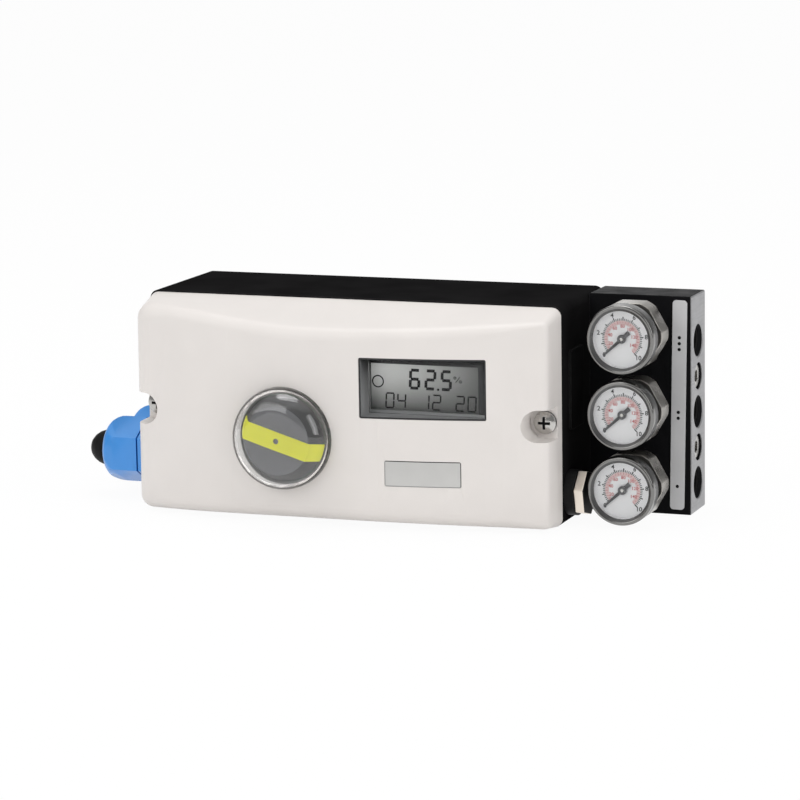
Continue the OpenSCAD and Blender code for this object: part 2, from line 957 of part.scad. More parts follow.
module shaft_gear() {
    color([0.85, 0.8, 0.68])
        difference() {
            union() {
                gear(gear_teeth, 0);
                rod_y(hub_r, [gear_y[1] - past, gear_y[1] + hub_len]);
            }
            rod_y(journal_r + fit, [gear_y[0] - past, gear_y[1] + hub_len + past]);
        }
}

module sensor_pinion() {
    color([0.85, 0.8, 0.68])
        at_sensor()
            difference() {
                gear(pinion_teeth, 180 / pinion_teeth);
                rod_y(spindle_r + fit, [gear_y[0] - past, gear_y[1] + past]);
            }
}

module sensor_spindle() {
    color([0.7, 0.71, 0.73])
        at_sensor()
            rod_y(spindle_r, [sensor_y[1] - spindle_in, gear_y[1] + spindle_out]);
}

module sensor_body() {
    collar_y = sensor_y[1] + sensor_collar_len;
    color([0.12, 0.2, 0.4])
        at_sensor()
            difference() {
                union() {
                    rod_y(sensor_r, sensor_y);
                    rod_y(sensor_collar_r, [sensor_y[1] - past, collar_y]);
                }
                rod_y(spindle_r + run, [sensor_y[1] - spindle_in - fit, collar_y + past]);
            }
}

module circuit_board() {
    color([0.05, 0.35, 0.18])
        difference() {
            plate(board_x, board_z, board_corner_r, board_y);
            rod_y(board_hole_r, [board_y[0] - past, board_y[1] + past]);
            at_posts()
                rod_y(board_screw_r + screw_slack, [board_y[0] - past, board_y[1] + past]);
        }
}

module board_screws() {
    color("silver")
        at_posts()
            pan_screw(board_screw_r, board_screw_head_r, board_screw_head_t, board_y[0],
                board_y[1] + board_screw_len - past);
}

module lcd_module() {
    panel_y = lcd_seat_y + lcd_flange_t + lcd_air;
    face_room = liner_t + lcd_air;
    color([0.6, 0.63, 0.6]) {
        box(shrink(lcd_x, face_room), [panel_y - lcd_step, panel_y + past], shrink(lcd_z, face_room));
        plate(shrink(lcd_x, -lcd_panel_lap), shrink(lcd_z, -lcd_panel_lap), lcd_panel_lap,
            [panel_y, panel_y + lcd_panel_t]);
        for (x = shrink(lcd_x, lcd_leg_r), z = shrink(lcd_z, lcd_leg_r))
            translate([x, 0, z])
                rod_y(lcd_leg_r, [panel_y + lcd_panel_t - past, board_y[0]]);
    }
}

module lcd_bezel() {
    liner_y = [crown_y, lcd_seat_y + lcd_flange_t / 2];
    flange_out = lcd_rim - lcd_rim_gap;
    color([0.16, 0.17, 0.18])
        difference() {
            union() {
                intersection() {
                    plate(shrink(lcd_x, fit), shrink(lcd_z, fit), liner_t, liner_y);
                    front_drum(liner_sink);
                }
                plate(shrink(lcd_x, -flange_out), shrink(lcd_z, -flange_out), lcd_rim / 2,
                    [lcd_seat_y, lcd_seat_y + lcd_flange_t]);
            }
            box(shrink(lcd_x, liner_t), [crown_y - past, lcd_ledge_y], shrink(lcd_z, liner_t));
            box(shrink(lcd_x, liner_t), [lcd_ledge_y + lcd_flange_t, joint_y], shrink(lcd_z, liner_t));
            box(view_x, [crown_y, joint_y], view_z);
        }
}

module lcd_glass() {
    color([0.8, 0.85, 0.85, 0.4])
        box(shrink(lcd_x, liner_t + fit), [lcd_ledge_y - lcd_glass_t, lcd_ledge_y],
            shrink(lcd_z, liner_t + fit));
}

module name_plate() {
    color([0.75, 0.76, 0.78])
        difference() {
            intersection() {
                plate(shrink(plate_x, fit), shrink(plate_z, fit), plate_t, [crown_y - past, joint_y]);
                front_drum(plate_sink);
            }
            front_drum(plate_sink + plate_t);
        }
}

module at_button(i) {
    translate([button_mid + (i - 2.5) * button_pitch, 0, button_z])
        children();
}

module switch_bases() {
    side = [-switch_w, switch_w] / 2;
    color([0.1, 0.1, 0.11])
        for (i = [1:4])
            at_button(i)
                difference() {
                    box(side, [board_y[0] - switch_t, board_y[0]], side);
                    rod_y(button_stem_r + 2 * run, [board_y[0] - switch_t - past, board_y[0] + past]);
                }
}

module button(i) {
    under = board_y[0] - switch_t - button_travel - lcd_air;
    color([0.25, 0.26, 0.28])
        at_button(i) {
            rod_y(button_r, [under - button_len, under]);
            rod_y(button_stem_r, [under - past, under + button_stem_len]);
        }
}

module terminal_block() {
    pitch = (pedestal_z[1] - pedestal_z[0]) / terminal_ways;
    y = [pedestal_y - terminal_t, pedestal_y];
    color([0.15, 0.45, 0.3])
        difference() {
            box(pedestal_x, y, pedestal_z);
            for (i = [0:terminal_ways - 1])
                translate([0, 0, pedestal_z[0] + (i + 0.5) * pitch]) {
                    translate([(pedestal_x[0] + pedestal_x[1]) / 2, 0, 0])
                        rod_y(pitch * 0.3, [y[0] - past, y[0] + terminal_t / 2]);
                    translate([0, y[0] + terminal_t * 0.7, 0])
                        rod_x(pitch * 0.28, [pedestal_x[0] - past, pedestal_x[0] + wire_in]);
                }
        }
}

module ip_module() {
    color([0.3, 0.31, 0.33])
        difference() {
            plate(ip_x, ip_z, ip_corner_r, [valve_y[0] - ip_t, valve_y[0]]);
            for (x = shrink(ip_x, ip_hole_in), z = shrink(ip_z, ip_hole_in))
                translate([x, 0, z])
                    rod_y(ip_hole_r, [valve_y[0] - ip_t - past, valve_y[0] + past]);
        }
}

module at_spool() {
    translate([spool_x, spool_y, 0])
        children();
}

module valve_block() {
    color([0.62, 0.63, 0.65])
        difference() {
            box(valve_x, valve_y, valve_z);
            at_spool() {
                rod_z(spool_r + run, [valve_z[0] + spool_floor, valve_z[1] + past]);
                rod_z(spool_plug_r + fit, [valve_z[1] - spool_plug_len, valve_z[1] + past]);
            }
            at_ports()
                rod_x(valve_passage_r, [spool_x, valve_x[1] + past]);
        }
}

module valve_spool() {
    waist = [spool_z[0] + spool_land, spool_z[1] - spool_land];
    color([0.8, 0.81, 0.83])
        at_spool() {
            rod_z(spool_neck_r, spool_z);
            for (z = [spool_z[0], (waist[0] + waist[1] - spool_land) / 2, waist[1]])
                rod_z(spool_r, [z, z + spool_land]);
        }
}

module spool_plug() {
    color([0.55, 0.56, 0.58])
        at_spool()
            difference() {
                rod_z(spool_plug_r, [valve_z[1] - spool_plug_len, valve_z[1]]);
                translate([0, 0, valve_z[1] - spool_plug_len / 2])
                    cylinder(d = spool_plug_r, h = spool_plug_len, $fn = 6);
            }
}

module gauge_block() {
    bore_y = [block_y[0] - past, block_y[0] + stem_in + stem_room];
    seal_x = block_x[0] + seal_depth;
    color([0.13, 0.13, 0.14])
        difference() {
            plate(block_x, [base, top], 0.8, block_y);
            at_ports() {
                rod_x(port_r, [block_x[1] - port_chamfer - port_len, block_x[1] + past]);
                turned_x()
                    polygon([[0, block_x[1] - port_chamfer], [port_r, block_x[1] - port_chamfer],
                        [port_r + port_chamfer, block_x[1]], [port_r + port_chamfer, block_x[1] + past],
                        [0, block_x[1] + past]]);
                rod_x(passage_r, [block_x[0] - past, block_x[1] - port_chamfer - port_len + past]);
                difference() {
                    rod_x(seal_ring_r + seal_r + fit, [block_x[0] - past, seal_x]);
                    rod_x(seal_ring_r - seal_r - fit, [block_x[0] - 2 * past, seal_x + past]);
                }
            }
            at_block_screws() {
                rod_x(block_screw_r + screw_slack, [block_x[0] - past, block_x[1] + past]);
                rod_x(block_screw_head_r + past, [block_x[1] - block_screw_sink, block_x[1] + past]);
            }
            at_gauges()
                rod_y(stem_r + fit, bore_y);
        }
}

module block_seals() {
    color([0.1, 0.1, 0.1])
        at_ports()
            turned_x()
                translate([seal_ring_r, block_x[0] + seal_depth / 2])
                    circle(seal_r);
}

module block_screws() {
    seat = block_x[1] - block_screw_sink;
    color([0.78, 0.79, 0.8])
        at_block_screws()
            difference() {
                union() {
                    rod_x(block_screw_r, [cavity_x[1] + 2 * past, seat + past]);
                    rod_x(block_screw_head_r, [seat, seat + block_screw_head_t]);
                }
                hex_x(block_screw_key, [seat + block_screw_head_t / 2, seat + block_screw_head_t + past]);
            }
}

module label_strip() {
    x = [block_x[1] - strip_from_end - strip_w, block_x[1] - strip_from_end];
    z = [base + strip_margins[0], top - strip_margins[1]];
    color([0.75, 0.76, 0.78])
        plate(x, z, strip_w * strip_corner, [block_y[0] - strip_t, block_y[0]]);
}

module gauge_sockets() {
    hex_y = [case_y[1] + socket_neck_len, case_y[1] + socket_neck_len + socket_hex_len];
    color([0.8, 0.8, 0.8])
        at_gauges()
            difference() {
                union() {
                    rod_y(spigot_r, [case_y[1] - case_floor - spigot_in, case_y[1] + past]);
                    rod_y(neck_socket_r, [case_y[1], hex_y[0] + past]);
                    intersection() {
                        translate([0, hex_y[0], 0])
                            rotate([-90, 0, 0])
                                cylinder(d = socket_af / cos(30), h = socket_hex_len, $fn = 6);
                        rod_y(gauge_r, hex_y);
                    }
                    rod_y(socket_shank_r, [hex_y[1] - past, block_y[0]]);
                    rod_y(stem_r, [block_y[0] - past, block_y[0] + stem_in]);
                }
                rod_y(pressure_hole_r, [case_y[1] - case_floor, block_y[0] + stem_in + past]);
            }
}

module gauge_cases() {
    inner_r = case_r - case_wall;
    floor_y = case_y[1] - case_floor;
    color([0.2, 0.2, 0.21])
        at_gauges()
            difference() {
                rod_y(case_r, case_y);
                rod_y(inner_r, [case_y[0] - past, dial_y + dial_t]);
                rod_y(inner_r - dial_ledge, [case_y[0], floor_y]);
                rod_y(spigot_r + fit, [floor_y - past, case_y[1] + past]);
            }
}

module gauge_bezels() {
    color([0.82, 0.82, 0.83])
        at_gauges()
            turned_y()
                polygon([
                    [gauge_r - bezel_land, gauge_y + bezel_edge],
                    [gauge_r - 2 * bezel_edge, gauge_y],
                    [gauge_r - bezel_edge, gauge_y],
                    [gauge_r, gauge_y + bezel_edge],
                    [gauge_r, gauge_y + bezel_len - bezel_break],
                    [gauge_r - bezel_break, gauge_y + bezel_len],
                    [gauge_r - bezel_wall, gauge_y + bezel_len],
                    [gauge_r - bezel_wall, gauge_y + bezel_lip],
                    [gauge_r - bezel_land, gauge_y + bezel_lip]
                ]);
}

module gauge_dials() {
    color("white")
        at_gauges()
            difference() {
                rod_y(case_r - case_wall - fit, [dial_y, dial_y + dial_t]);
                rod_y(dial_hole_r, [dial_y - past, dial_y + dial_t + past]);
            }
}

module gauge_glasses() {
    color([0.85, 0.9, 0.92, 0.3])
        at_gauges()
            rod_y(case_r - fit, glass_y);
}

module bourdon_tubes() {
    y = case_y[1] - case_floor - tube_r - fit;
    color([0.75, 0.6, 0.3])
        at_gauges()
            rotate([-90, tube_start, 0])
                rotate_extrude(angle = tube_sweep)
                    translate([tube_ring_r, y])
                        circle(tube_r);
}

module gauge_pointer(i) {
    color([0.2, 0.2, 0.22])
        translate([gauge_x, 0, gauge_zs[i - 1]]) {
            rod_y(pointer_hub_r, [pointer_y - pointer_hub_lap, pointer_y + pointer_t + pointer_hub_lap]);
            rod_y(arbor_r, [pointer_y, dial_y + dial_t + arbor_in]);
            rotate([0, pointer_rest, 0])
                translate([0, pointer_y + pointer_t, 0])
                    rotate([90, 0, 0])
                        linear_extrude(pointer_t)
                            polygon([
                                [-pointer_widths[0] / 2, -pointer_tail],
                                [pointer_widths[0] / 2, -pointer_tail],
                                [pointer_widths[1] / 2, 0],
                                [pointer_widths[2] / 2, pointer_len],
                                [-pointer_widths[2] / 2, pointer_len],
                                [-pointer_widths[1] / 2, 0]
                            ]);
        }
}

module gland_bodies() {
    thread_end = left - gland_base - nut_thread;
    color([0.29, 0.56, 0.85])
        at_glands()
            difference() {
                union() {
                    rod_x(gland_r, [left - past, cavity_x[0]]);
                    hex_x(gland_af, [left - gland_base, left]);
                    rod_x(nut_thread_r, [thread_end, left - gland_base + past]);
                }
                rod_x(nut_mouth_r, [thread_end - past, cavity_x[0] + past]);
            }
}

module gland_nuts() {
    corner_reach = gland_af / cos(30) / 2;
    round_r = corner_reach - nut_end_r;
    shoulder = nut_x[0] + nut_dome;
    color([0.29, 0.56, 0.85])
        at_glands()
            difference() {
                intersection() {
                    hex_x(gland_af, nut_x);
                    turned_x()
                        polygon([
                            [0, nut_x[1]],
                            [corner_reach, nut_x[1]],
                            for (a = [0:15:90])
                                [nut_end_r + round_r * cos(a), shoulder - nut_dome * sin(a)],
                            [0, nut_x[0]]
                        ]);
                }
                rod_x(nut_thread_r + fit, [nut_x[0] + nut_lip, nut_x[1] + past]);
                rod_x(nut_mouth_r, [nut_x[0] - past, nut_x[1]]);
            }
}

module gland_seals() {
    color([0.12, 0.12, 0.12])
        at_glands()
            difference() {
                rod_x(nut_thread_r - fit, [nut_x[0] + nut_lip, left - gland_base - nut_thread]);
                rod_x(plug_r + fit, [nut_x[0], left]);
            }
}

module dust_plugs() {
    color([0.05, 0.05, 0.05])
        at_glands() {
            rod_x(plug_r, [nut_x[0] - past, left - gland_base - nut_thread]);
            turned_x()
                polygon([
                    [0, nut_x[0]],
                    for (a = [0:15:90])
                        [plug_head_r * cos(a), nut_x[0] - plug_head_len * sin(a)]
                ]);
        }
}

module vent_plug() {
    seat = right + vent_collar_t;
    color([0.72, 0.69, 0.62])
        at_vent()
            difference() {
                union() {
                    rod_x(vent_r, [cavity_x[1], seat + past]);
                    rotate([vent_turn, 0, 0])
                        hex_x(vent_af, [seat, seat + vent_head_t]);
                }
                rod_x(vent_bore_r, [cavity_x[1] - past, seat + vent_head_t + past]);
            }
}

module vent_collar() {
    color([0.08, 0.08, 0.08])
        at_vent()
            difference() {
                rod_x(vent_collar_r, [right, right + vent_collar_t]);
                rod_x(vent_r + fit, [right - past, right + vent_collar_t + past]);
            }
}

housing();
cover();
cover_gasket();
cover_screws();
window_dome();
window_seal();
indicator_cap();
indicator_stripe();
feedback_shaft();
shaft_bushes();
shaft_clip();
shaft_gear();
sensor_pinion();
sensor_spindle();
sensor_body();
circuit_board();
board_screws();
lcd_module();
lcd_bezel();
lcd_glass();
name_plate();
switch_bases();
button(1);  // button_1
button(2);  // button_2
button(3);  // button_3
button(4);  // button_4
terminal_block();
ip_module();
valve_block();
valve_spool();
spool_plug();
gauge_block();
block_seals();
block_screws();
label_strip();
gauge_sockets();
gauge_cases();
gauge_bezels();
gauge_dials();
gauge_glasses();
bourdon_tubes();
gauge_pointer(1);  // gauge_pointer_1
gauge_pointer(2);  // gauge_pointer_2
gauge_pointer(3);  // gauge_pointer_3
gland_bodies();
gland_nuts();
gland_seals();
dust_plugs();
vent_plug();
vent_collar();
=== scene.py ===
"""Looks of a valve positioner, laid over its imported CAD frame.

The frame's origin is where the feedback shaft's axis meets the housing's back face. X runs to the gauge
block, Y to the back and Z up. The sub-assemblies hold their sizes in millimetres and their angles in
degrees, and a limit named facing is a part of a face's normal. The finishes and the studio are in metres,
as the scene is.
"""

import json
import logging
import math
from collections.abc import Iterable, Sequence
from dataclasses import dataclass, field
from enum import Enum
from typing import ClassVar

import bmesh
import bpy
from bmesh.types import BMesh
from mathutils import Matrix, Vector

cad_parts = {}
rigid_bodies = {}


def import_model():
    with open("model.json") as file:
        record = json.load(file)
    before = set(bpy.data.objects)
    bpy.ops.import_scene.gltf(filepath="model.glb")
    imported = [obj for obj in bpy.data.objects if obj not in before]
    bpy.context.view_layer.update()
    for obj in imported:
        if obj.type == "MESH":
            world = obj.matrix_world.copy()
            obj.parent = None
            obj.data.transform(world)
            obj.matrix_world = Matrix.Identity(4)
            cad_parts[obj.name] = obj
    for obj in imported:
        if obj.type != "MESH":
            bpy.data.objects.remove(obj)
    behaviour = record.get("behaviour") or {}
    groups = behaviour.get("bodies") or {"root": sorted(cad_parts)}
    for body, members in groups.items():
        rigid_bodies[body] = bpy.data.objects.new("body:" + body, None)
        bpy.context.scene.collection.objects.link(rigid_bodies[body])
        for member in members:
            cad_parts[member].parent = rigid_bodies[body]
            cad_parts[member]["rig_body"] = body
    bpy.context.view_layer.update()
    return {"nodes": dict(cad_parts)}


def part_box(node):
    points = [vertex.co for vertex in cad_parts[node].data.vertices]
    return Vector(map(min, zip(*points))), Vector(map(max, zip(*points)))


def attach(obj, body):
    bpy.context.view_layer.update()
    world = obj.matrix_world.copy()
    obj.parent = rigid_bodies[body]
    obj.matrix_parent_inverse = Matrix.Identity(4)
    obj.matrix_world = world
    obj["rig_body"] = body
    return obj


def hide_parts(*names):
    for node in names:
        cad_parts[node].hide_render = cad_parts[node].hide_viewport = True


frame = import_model()
MM = 0.001
LOG = logging.getLogger("positioner")

Colour = tuple[float, float, float]
Point2 = tuple[float, float]
Point3 = tuple[float, float, float]
Socket = bpy.types.NodeSocket

WELD = 0.0001  # Points of a turned mesh that are closer than this are one.
SHARP = 32.0  # Edges sharper than this, in degrees, stay sharp.
PRINT = 0.02  # Half the thickness of a printed mark.
FONT_SHARE = 0.69  # Height of a printed figure, as a share of its font's size.
FONT_BOLD = 0.025  # How much a printed figure is thickened, as a share of its height.


@dataclass(frozen=True)
class Grain:
    """Fine relief of a surface: feature size and depth in metres, and its stretch along each axis."""

    size: float
    depth: float = 0.0
    stretch: Point3 = (1.0, 1.0, 1.0)
    detail: float = 3.0


class Texture(Enum):
    """The kinds of surface that the finishes choose from."""

    SPRAYED = Grain(0.0011, 0.000012)
    CAST = Grain(0.0007, 0.00004)
    MOULDED = Grain(0.0004, 0.000012)
    TURNED = Grain(0.0009, 0.000004, (1.0, 0.06, 1.0))
    BRUSHED = Grain(0.00016, 0.000003, (60.0, 1.0, 1.0))
    BRUSHED_UP = Grain(0.00016, 0.000003, (1.0, 1.0, 60.0))
    MILLED = Grain(0.0003, 0.000005, (1.0, 1.0, 25.0))
    SMOOTH = Grain(0.003, 0.000002)
    RUBBED = Grain(0.0006, 0.00002)


class Wiring:
    """A node tree, built node by node."""

    def __init__(self, owner: bpy.types.Material | bpy.types.World) -> None:
        """Empties the node tree of a material or a world.

        Args:
            owner: The material or world.
        """
        owner.use_nodes = True
        self.tree = owner.node_tree
        self.tree.nodes.clear()

    def node(self, kind: str, settings: dict | None = None, **sockets: object) -> bpy.types.Node:
        """Adds a node.

        Args:
            kind: The node's type name.
            settings: Properties of the node.
            sockets: Values for input sockets; an underscore in a name stands for a space.

        Returns:
            The new node.
        """
        made = self.tree.nodes.new(kind)
        for key, value in (settings or {}).items():
            setattr(made, key, value)
        for key, value in sockets.items():
            self.set(made.inputs[key.replace("_", " ")], value)
        return made

    def set(self, socket: Socket, value: object) -> None:
        """Sets a socket to a value, or links another node's output to it.

        Args:
            socket: The input socket.
            value: A number, a vector, a colour or an output socket.
        """
        if isinstance(value, Socket):
            self.link(value, socket)
        else:
            socket.default_value = value

    def link(self, start: Socket, end: Socket) -> None:
        """Links an output to an input."""
        self.tree.links.new(start, end)

    def spread(self, value: Socket, span: Point2, low: object, high: object) -> Socket:
        """Maps a value from a span to another range.

        Args:
            value: The value to map.
            span: The range it comes from.
            low: What the span's start becomes, a number or a socket.
            high: What the span's end becomes, a number or a socket.

        Returns:
            The mapped value.
        """
        start, end = span
        made = self.node("ShaderNodeMapRange", Value=value, From_Min=start, From_Max=end, To_Min=low,
                         To_Max=high)
        return made.outputs[0]

    def math(self, operation: str, first: object, second: object) -> Socket:
        """Works out one number from two.

        Args:
            operation: The Math node's operation.
            first: A number or a socket.
            second: A number or a socket.

        Returns:
            The result.
        """
        made = self.node("ShaderNodeMath", {"operation": operation})
        self.set(made.inputs[0], first)
        self.set(made.inputs[1], second)
        return made.outputs[0]

    def dot(self, first: object, second: object) -> Socket:
        """Works out the dot product of two vectors.

        Args:
            first: A vector or a socket.
            second: A vector or a socket.

        Returns:
            The product.
        """
        made = self.node("ShaderNodeVectorMath", {"operation": "DOT_PRODUCT"})
        self.set(made.inputs[0], first)
        self.set(made.inputs[1], second)
        return made.outputs["Value"]


class NodeBench(Wiring):
    """A finish's material in the making, with one Principled shader."""

    def __init__(self, name: str) -> None:
        """Starts the material.

        Args:
            name: The material's name.
        """
        self.material = bpy.data.materials.new(name)
        super().__init__(self.material)
        self.shader = self.node("ShaderNodeBsdfPrincipled")
        output = self.node("ShaderNodeOutputMaterial")
        self.link(self.shader.outputs["BSDF"], output.inputs["Surface"])
        self.place = self.node("ShaderNodeTexCoord").outputs["Object"]

    def noise(self, grain: Grain) -> Socket:
        """Adds noise in object space.

        Args:
            grain: Size, stretch and detail of its features.

        Returns:
            The noise value, 0 to 1.
        """
        scale = [1 / s for s in grain.stretch]
        place = self.node("ShaderNodeMapping", Vector=self.place, Scale=scale).outputs[0]
        made = self.node("ShaderNodeTexNoise", Vector=place, Scale=1 / grain.size, Detail=grain.detail)
        return made.outputs[0]

    def mix(self, share: object, first: object, second: object) -> Socket:
        """Mixes two colours.

        Args:
            share: How much of the second colour shows.
            first: A colour or a colour socket.
            second: A colour or a colour socket.

        Returns:
            The mixed colour.
        """
        made = self.node("ShaderNodeMix", {"data_type": "RGBA"})
        for index, value in ((0, share), (6, first), (7, second)):
            self.set(made.inputs[index], (*value, 1.0) if isinstance(value, tuple) else value)
        return made.outputs[2]

    def axis(self, index: int) -> Socket:
        """Gives one object coordinate, 0 for X to 2 for Z."""
        return self.node("ShaderNodeSeparateXYZ", Vector=self.place).outputs[index]


@dataclass(frozen=True)
class Finish:
    """An opaque finish whose colour wanders a little and whose grain breaks up the gloss."""

    slot: str
    colour: Colour
    roughness: float
    texture: Texture
    metallic: float = 0.0
    specular: float = 0.5
    wander: float = 0.06
    edge_wear_and_highlight: float = 0.0
    coat: float = 0.0
    coat_ior: float = 1.5
    coat_roughness: float = 0.15

    NOISE_SPAN: ClassVar[Point2] = (0.3, 0.7)
    CLOUDS: ClassVar[Grain] = Grain(0.02, detail=4.0)
    PATCHES: ClassVar[Grain] = Grain(0.008, detail=5.0)
    PATCH_SPREAD: ClassVar[float] = 0.06
    EDGE_R: ClassVar[float] = 0.0008
    EDGE_LEAN: ClassVar[Point2] = (0.985, 0.85)
    EDGE_SPOTS: ClassVar[Grain] = Grain(0.002)
    EDGE_WEAR_AND_HIGHLIGHT_TONE: ClassVar[float] = 0.18

    def material(self) -> bpy.types.Material:
        """Builds the material.

        Returns:
            The material.
        """
        bench = NodeBench(self.slot)
        self.lay(bench)
        return bench.material

    def base(self, bench: NodeBench) -> Socket:
        """Gives the finish's colour, with pale spots along its edges that are partly wear and partly a
        painted highlight showing the edges' shape.

        Args:
            bench: The material in the making.

        Returns:
            The colour socket.
        """
        low = tuple(c * (1 - self.wander) for c in self.colour)
        high = tuple(min(1.0, c * (1 + self.wander)) for c in self.colour)
        cloud = bench.spread(bench.noise(self.CLOUDS), self.NOISE_SPAN, 0.0, 1.0)
        colour = bench.mix(cloud, low, high)
        if self.edge_wear_and_highlight:
            # Pale edge spots: partly wear, partly painted highlight.
            rounded = bench.node("ShaderNodeBevel", Radius=self.EDGE_R).outputs[0]
            lean = bench.dot(rounded, bench.node("ShaderNodeNewGeometry").outputs["True Normal"])
            edge = bench.spread(lean, self.EDGE_LEAN, 0.0, self.edge_wear_and_highlight)
            wear_and_highlight_spots = bench.math("MULTIPLY", edge, bench.noise(self.EDGE_SPOTS))
            bright = tuple(min(1.0, c + self.EDGE_WEAR_AND_HIGHLIGHT_TONE) for c in self.colour)
            colour = bench.mix(wear_and_highlight_spots, colour, bright)
        return colour

    def lay(self, bench: NodeBench) -> None:
        """Sets up the shader.

        Args:
            bench: The material in the making.
        """
        shader = bench.shader.inputs
        relief = bench.noise(self.texture.value)
        bench.set(shader["Base Color"], self.base(bench))
        low, high = self.roughness - self.PATCH_SPREAD, self.roughness + self.PATCH_SPREAD
        patches = bench.spread(bench.noise(self.PATCHES), self.NOISE_SPAN, low, high)
        bench.set(shader["Roughness"], patches)
        bump = bench.node("ShaderNodeBump", Height=relief, Distance=self.texture.value.depth, Strength=1.0)
        bench.set(shader["Normal"], bump.outputs[0])
        shader["Metallic"].default_value = self.metallic
        self.gloss(bench)

    def gloss(self, bench: NodeBench) -> None:
        """Sets the specular level and the clear coat, which are the same all over.

        Args:
            bench: The material in the making.
        """
        shader = bench.shader.inputs
        shader["Specular IOR Level"].default_value = self.specular
        shader["Coat Weight"].default_value = self.coat
        shader["Coat Roughness"].default_value = self.coat_roughness
        shader["Coat IOR"].default_value = self.coat_ior


@dataclass(frozen=True)
class ClearFinish(Finish):
    """A clear glass or plastic with faint rubbing marks."""

    coat_roughness: float = 0.0
    ior: float = 1.5

    MARKS: ClassVar[Grain] = Grain(0.004, stretch=(1.0, 1.0, 6.0), detail=6.0)
    MARK_SPAN: ClassVar[Point2] = (0.45, 0.8)
    MARK_ROUGHNESS: ClassVar[float] = 0.03

    def lay(self, bench: NodeBench) -> None:
        """Sets up the clear shader.

        Args:
            bench: The material in the making.
        """
        shader = bench.shader.inputs
        shader["Base Color"].default_value = (*self.colour, 1.0)
        shader["Transmission Weight"].default_value = 1.0
        shader["IOR"].default_value = self.ior
        low, high = self.roughness, self.roughness + self.MARK_ROUGHNESS
        bench.set(shader["Roughness"], bench.spread(bench.noise(self.MARKS), self.MARK_SPAN, low, high))
        self.gloss(bench)


@dataclass(frozen=True)
class BlockFinish(Finish):
    """Black anodising, with the end face beyond one X painted pale and metallic with milling strokes, a
    painted reflection of the light it catches.
    """

    reflection_from_x: float = 0.1623
    end_reflection: Colour = (0.42, 0.42, 0.43)
    end_reflection_metallic: float = 0.75

    STROKES: ClassVar[Grain] = Grain(0.0004, stretch=(1.0, 40.0, 1.0))
    STROKE_TONES: ClassVar[Point2] = (0.85, 1.1)

    def lay(self, bench: NodeBench) -> None:
        """Sets up the shader, then lays the painted reflection on the end face over it.

        Args:
            bench: The material in the making.
        """
        super().lay(bench)
        shader = bench.shader.inputs
        # Painted reflection: faces beyond one X get a pale, metallic colour that stands in for the light the
        # end face reflects.
        end = bench.math("GREATER_THAN", bench.axis(0), self.reflection_from_x)
        black = shader["Base Color"].links[0].from_socket
        strokes = bench.spread(bench.noise(self.STROKES), self.NOISE_SPAN, *self.STROKE_TONES)
        reflection_colour = bench.mix(strokes, (0.0, 0.0, 0.0), self.end_reflection)
        bench.set(shader["Base Color"], bench.mix(end, black, reflection_colour))
        bench.set(shader["Metallic"], bench.math("MULTIPLY", end, self.end_reflection_metallic))


@dataclass(frozen=True)
class BoardFinish(Finish):
    """A circuit board: lacquer over a pattern of copper tracks."""

    track: Colour = (0.05, 0.30, 0.14)
    track_scale: float = 120.0
    track_width: float = 0.03

    def base(self, bench: NodeBench) -> Socket:
        """Gives the lacquer's colour with the tracks showing through.

        Args:
            bench: The material in the making.

        Returns:
            The colour socket.
        """
        turned = bench.node("ShaderNodeMapping", Vector=bench.place, Rotation=(math.pi / 2, 0, 0)).outputs[0]
        brick = bench.node("ShaderNodeTexBrick", Vector=turned, Scale=self.track_scale,
                           Mortar_Size=self.track_width)
        return bench.mix(brick.outputs["Fac"], super().base(bench), self.track)


@dataclass(frozen=True)
class DisplayFinish(Finish):
    """A liquid crystal panel: a grey that falls off across and down the panel as painted reflection and
    shade, with a fine cell grid.
    """

    across: Point2 = (0.0361, 0.0857)
    down: Point2 = (0.0327, 0.0124)
    painted_tones_across: Point2 = (1.23, 0.09)
    painted_tones_down: Point2 = (1.0, 0.04)
    dark: Colour = (0.07, 0.072, 0.07)
    cell_scale: float = 2600.0
    cell_tone: float = 0.03

    def base(self, bench: NodeBench) -> Socket:
        """Gives the panel's colour.

        Args:
            bench: The material in the making.

        Returns:
            The colour socket.
        """
        # Painted reflection and shade: pale at the top left, darker towards the bottom right.
        across = bench.spread(bench.axis(0), self.across, *self.painted_tones_across)
        down = bench.spread(bench.axis(2), self.down, *self.painted_tones_down)
        pale = bench.math("MULTIPLY", across, down)
        cell = bench.node("ShaderNodeTexChecker", Vector=bench.place, Scale=self.cell_scale)
        faint = bench.math("MULTIPLY", cell.outputs["Fac"], self.cell_tone)
        return bench.mix(bench.math("SUBTRACT", pale, faint), self.dark, super().base(bench))


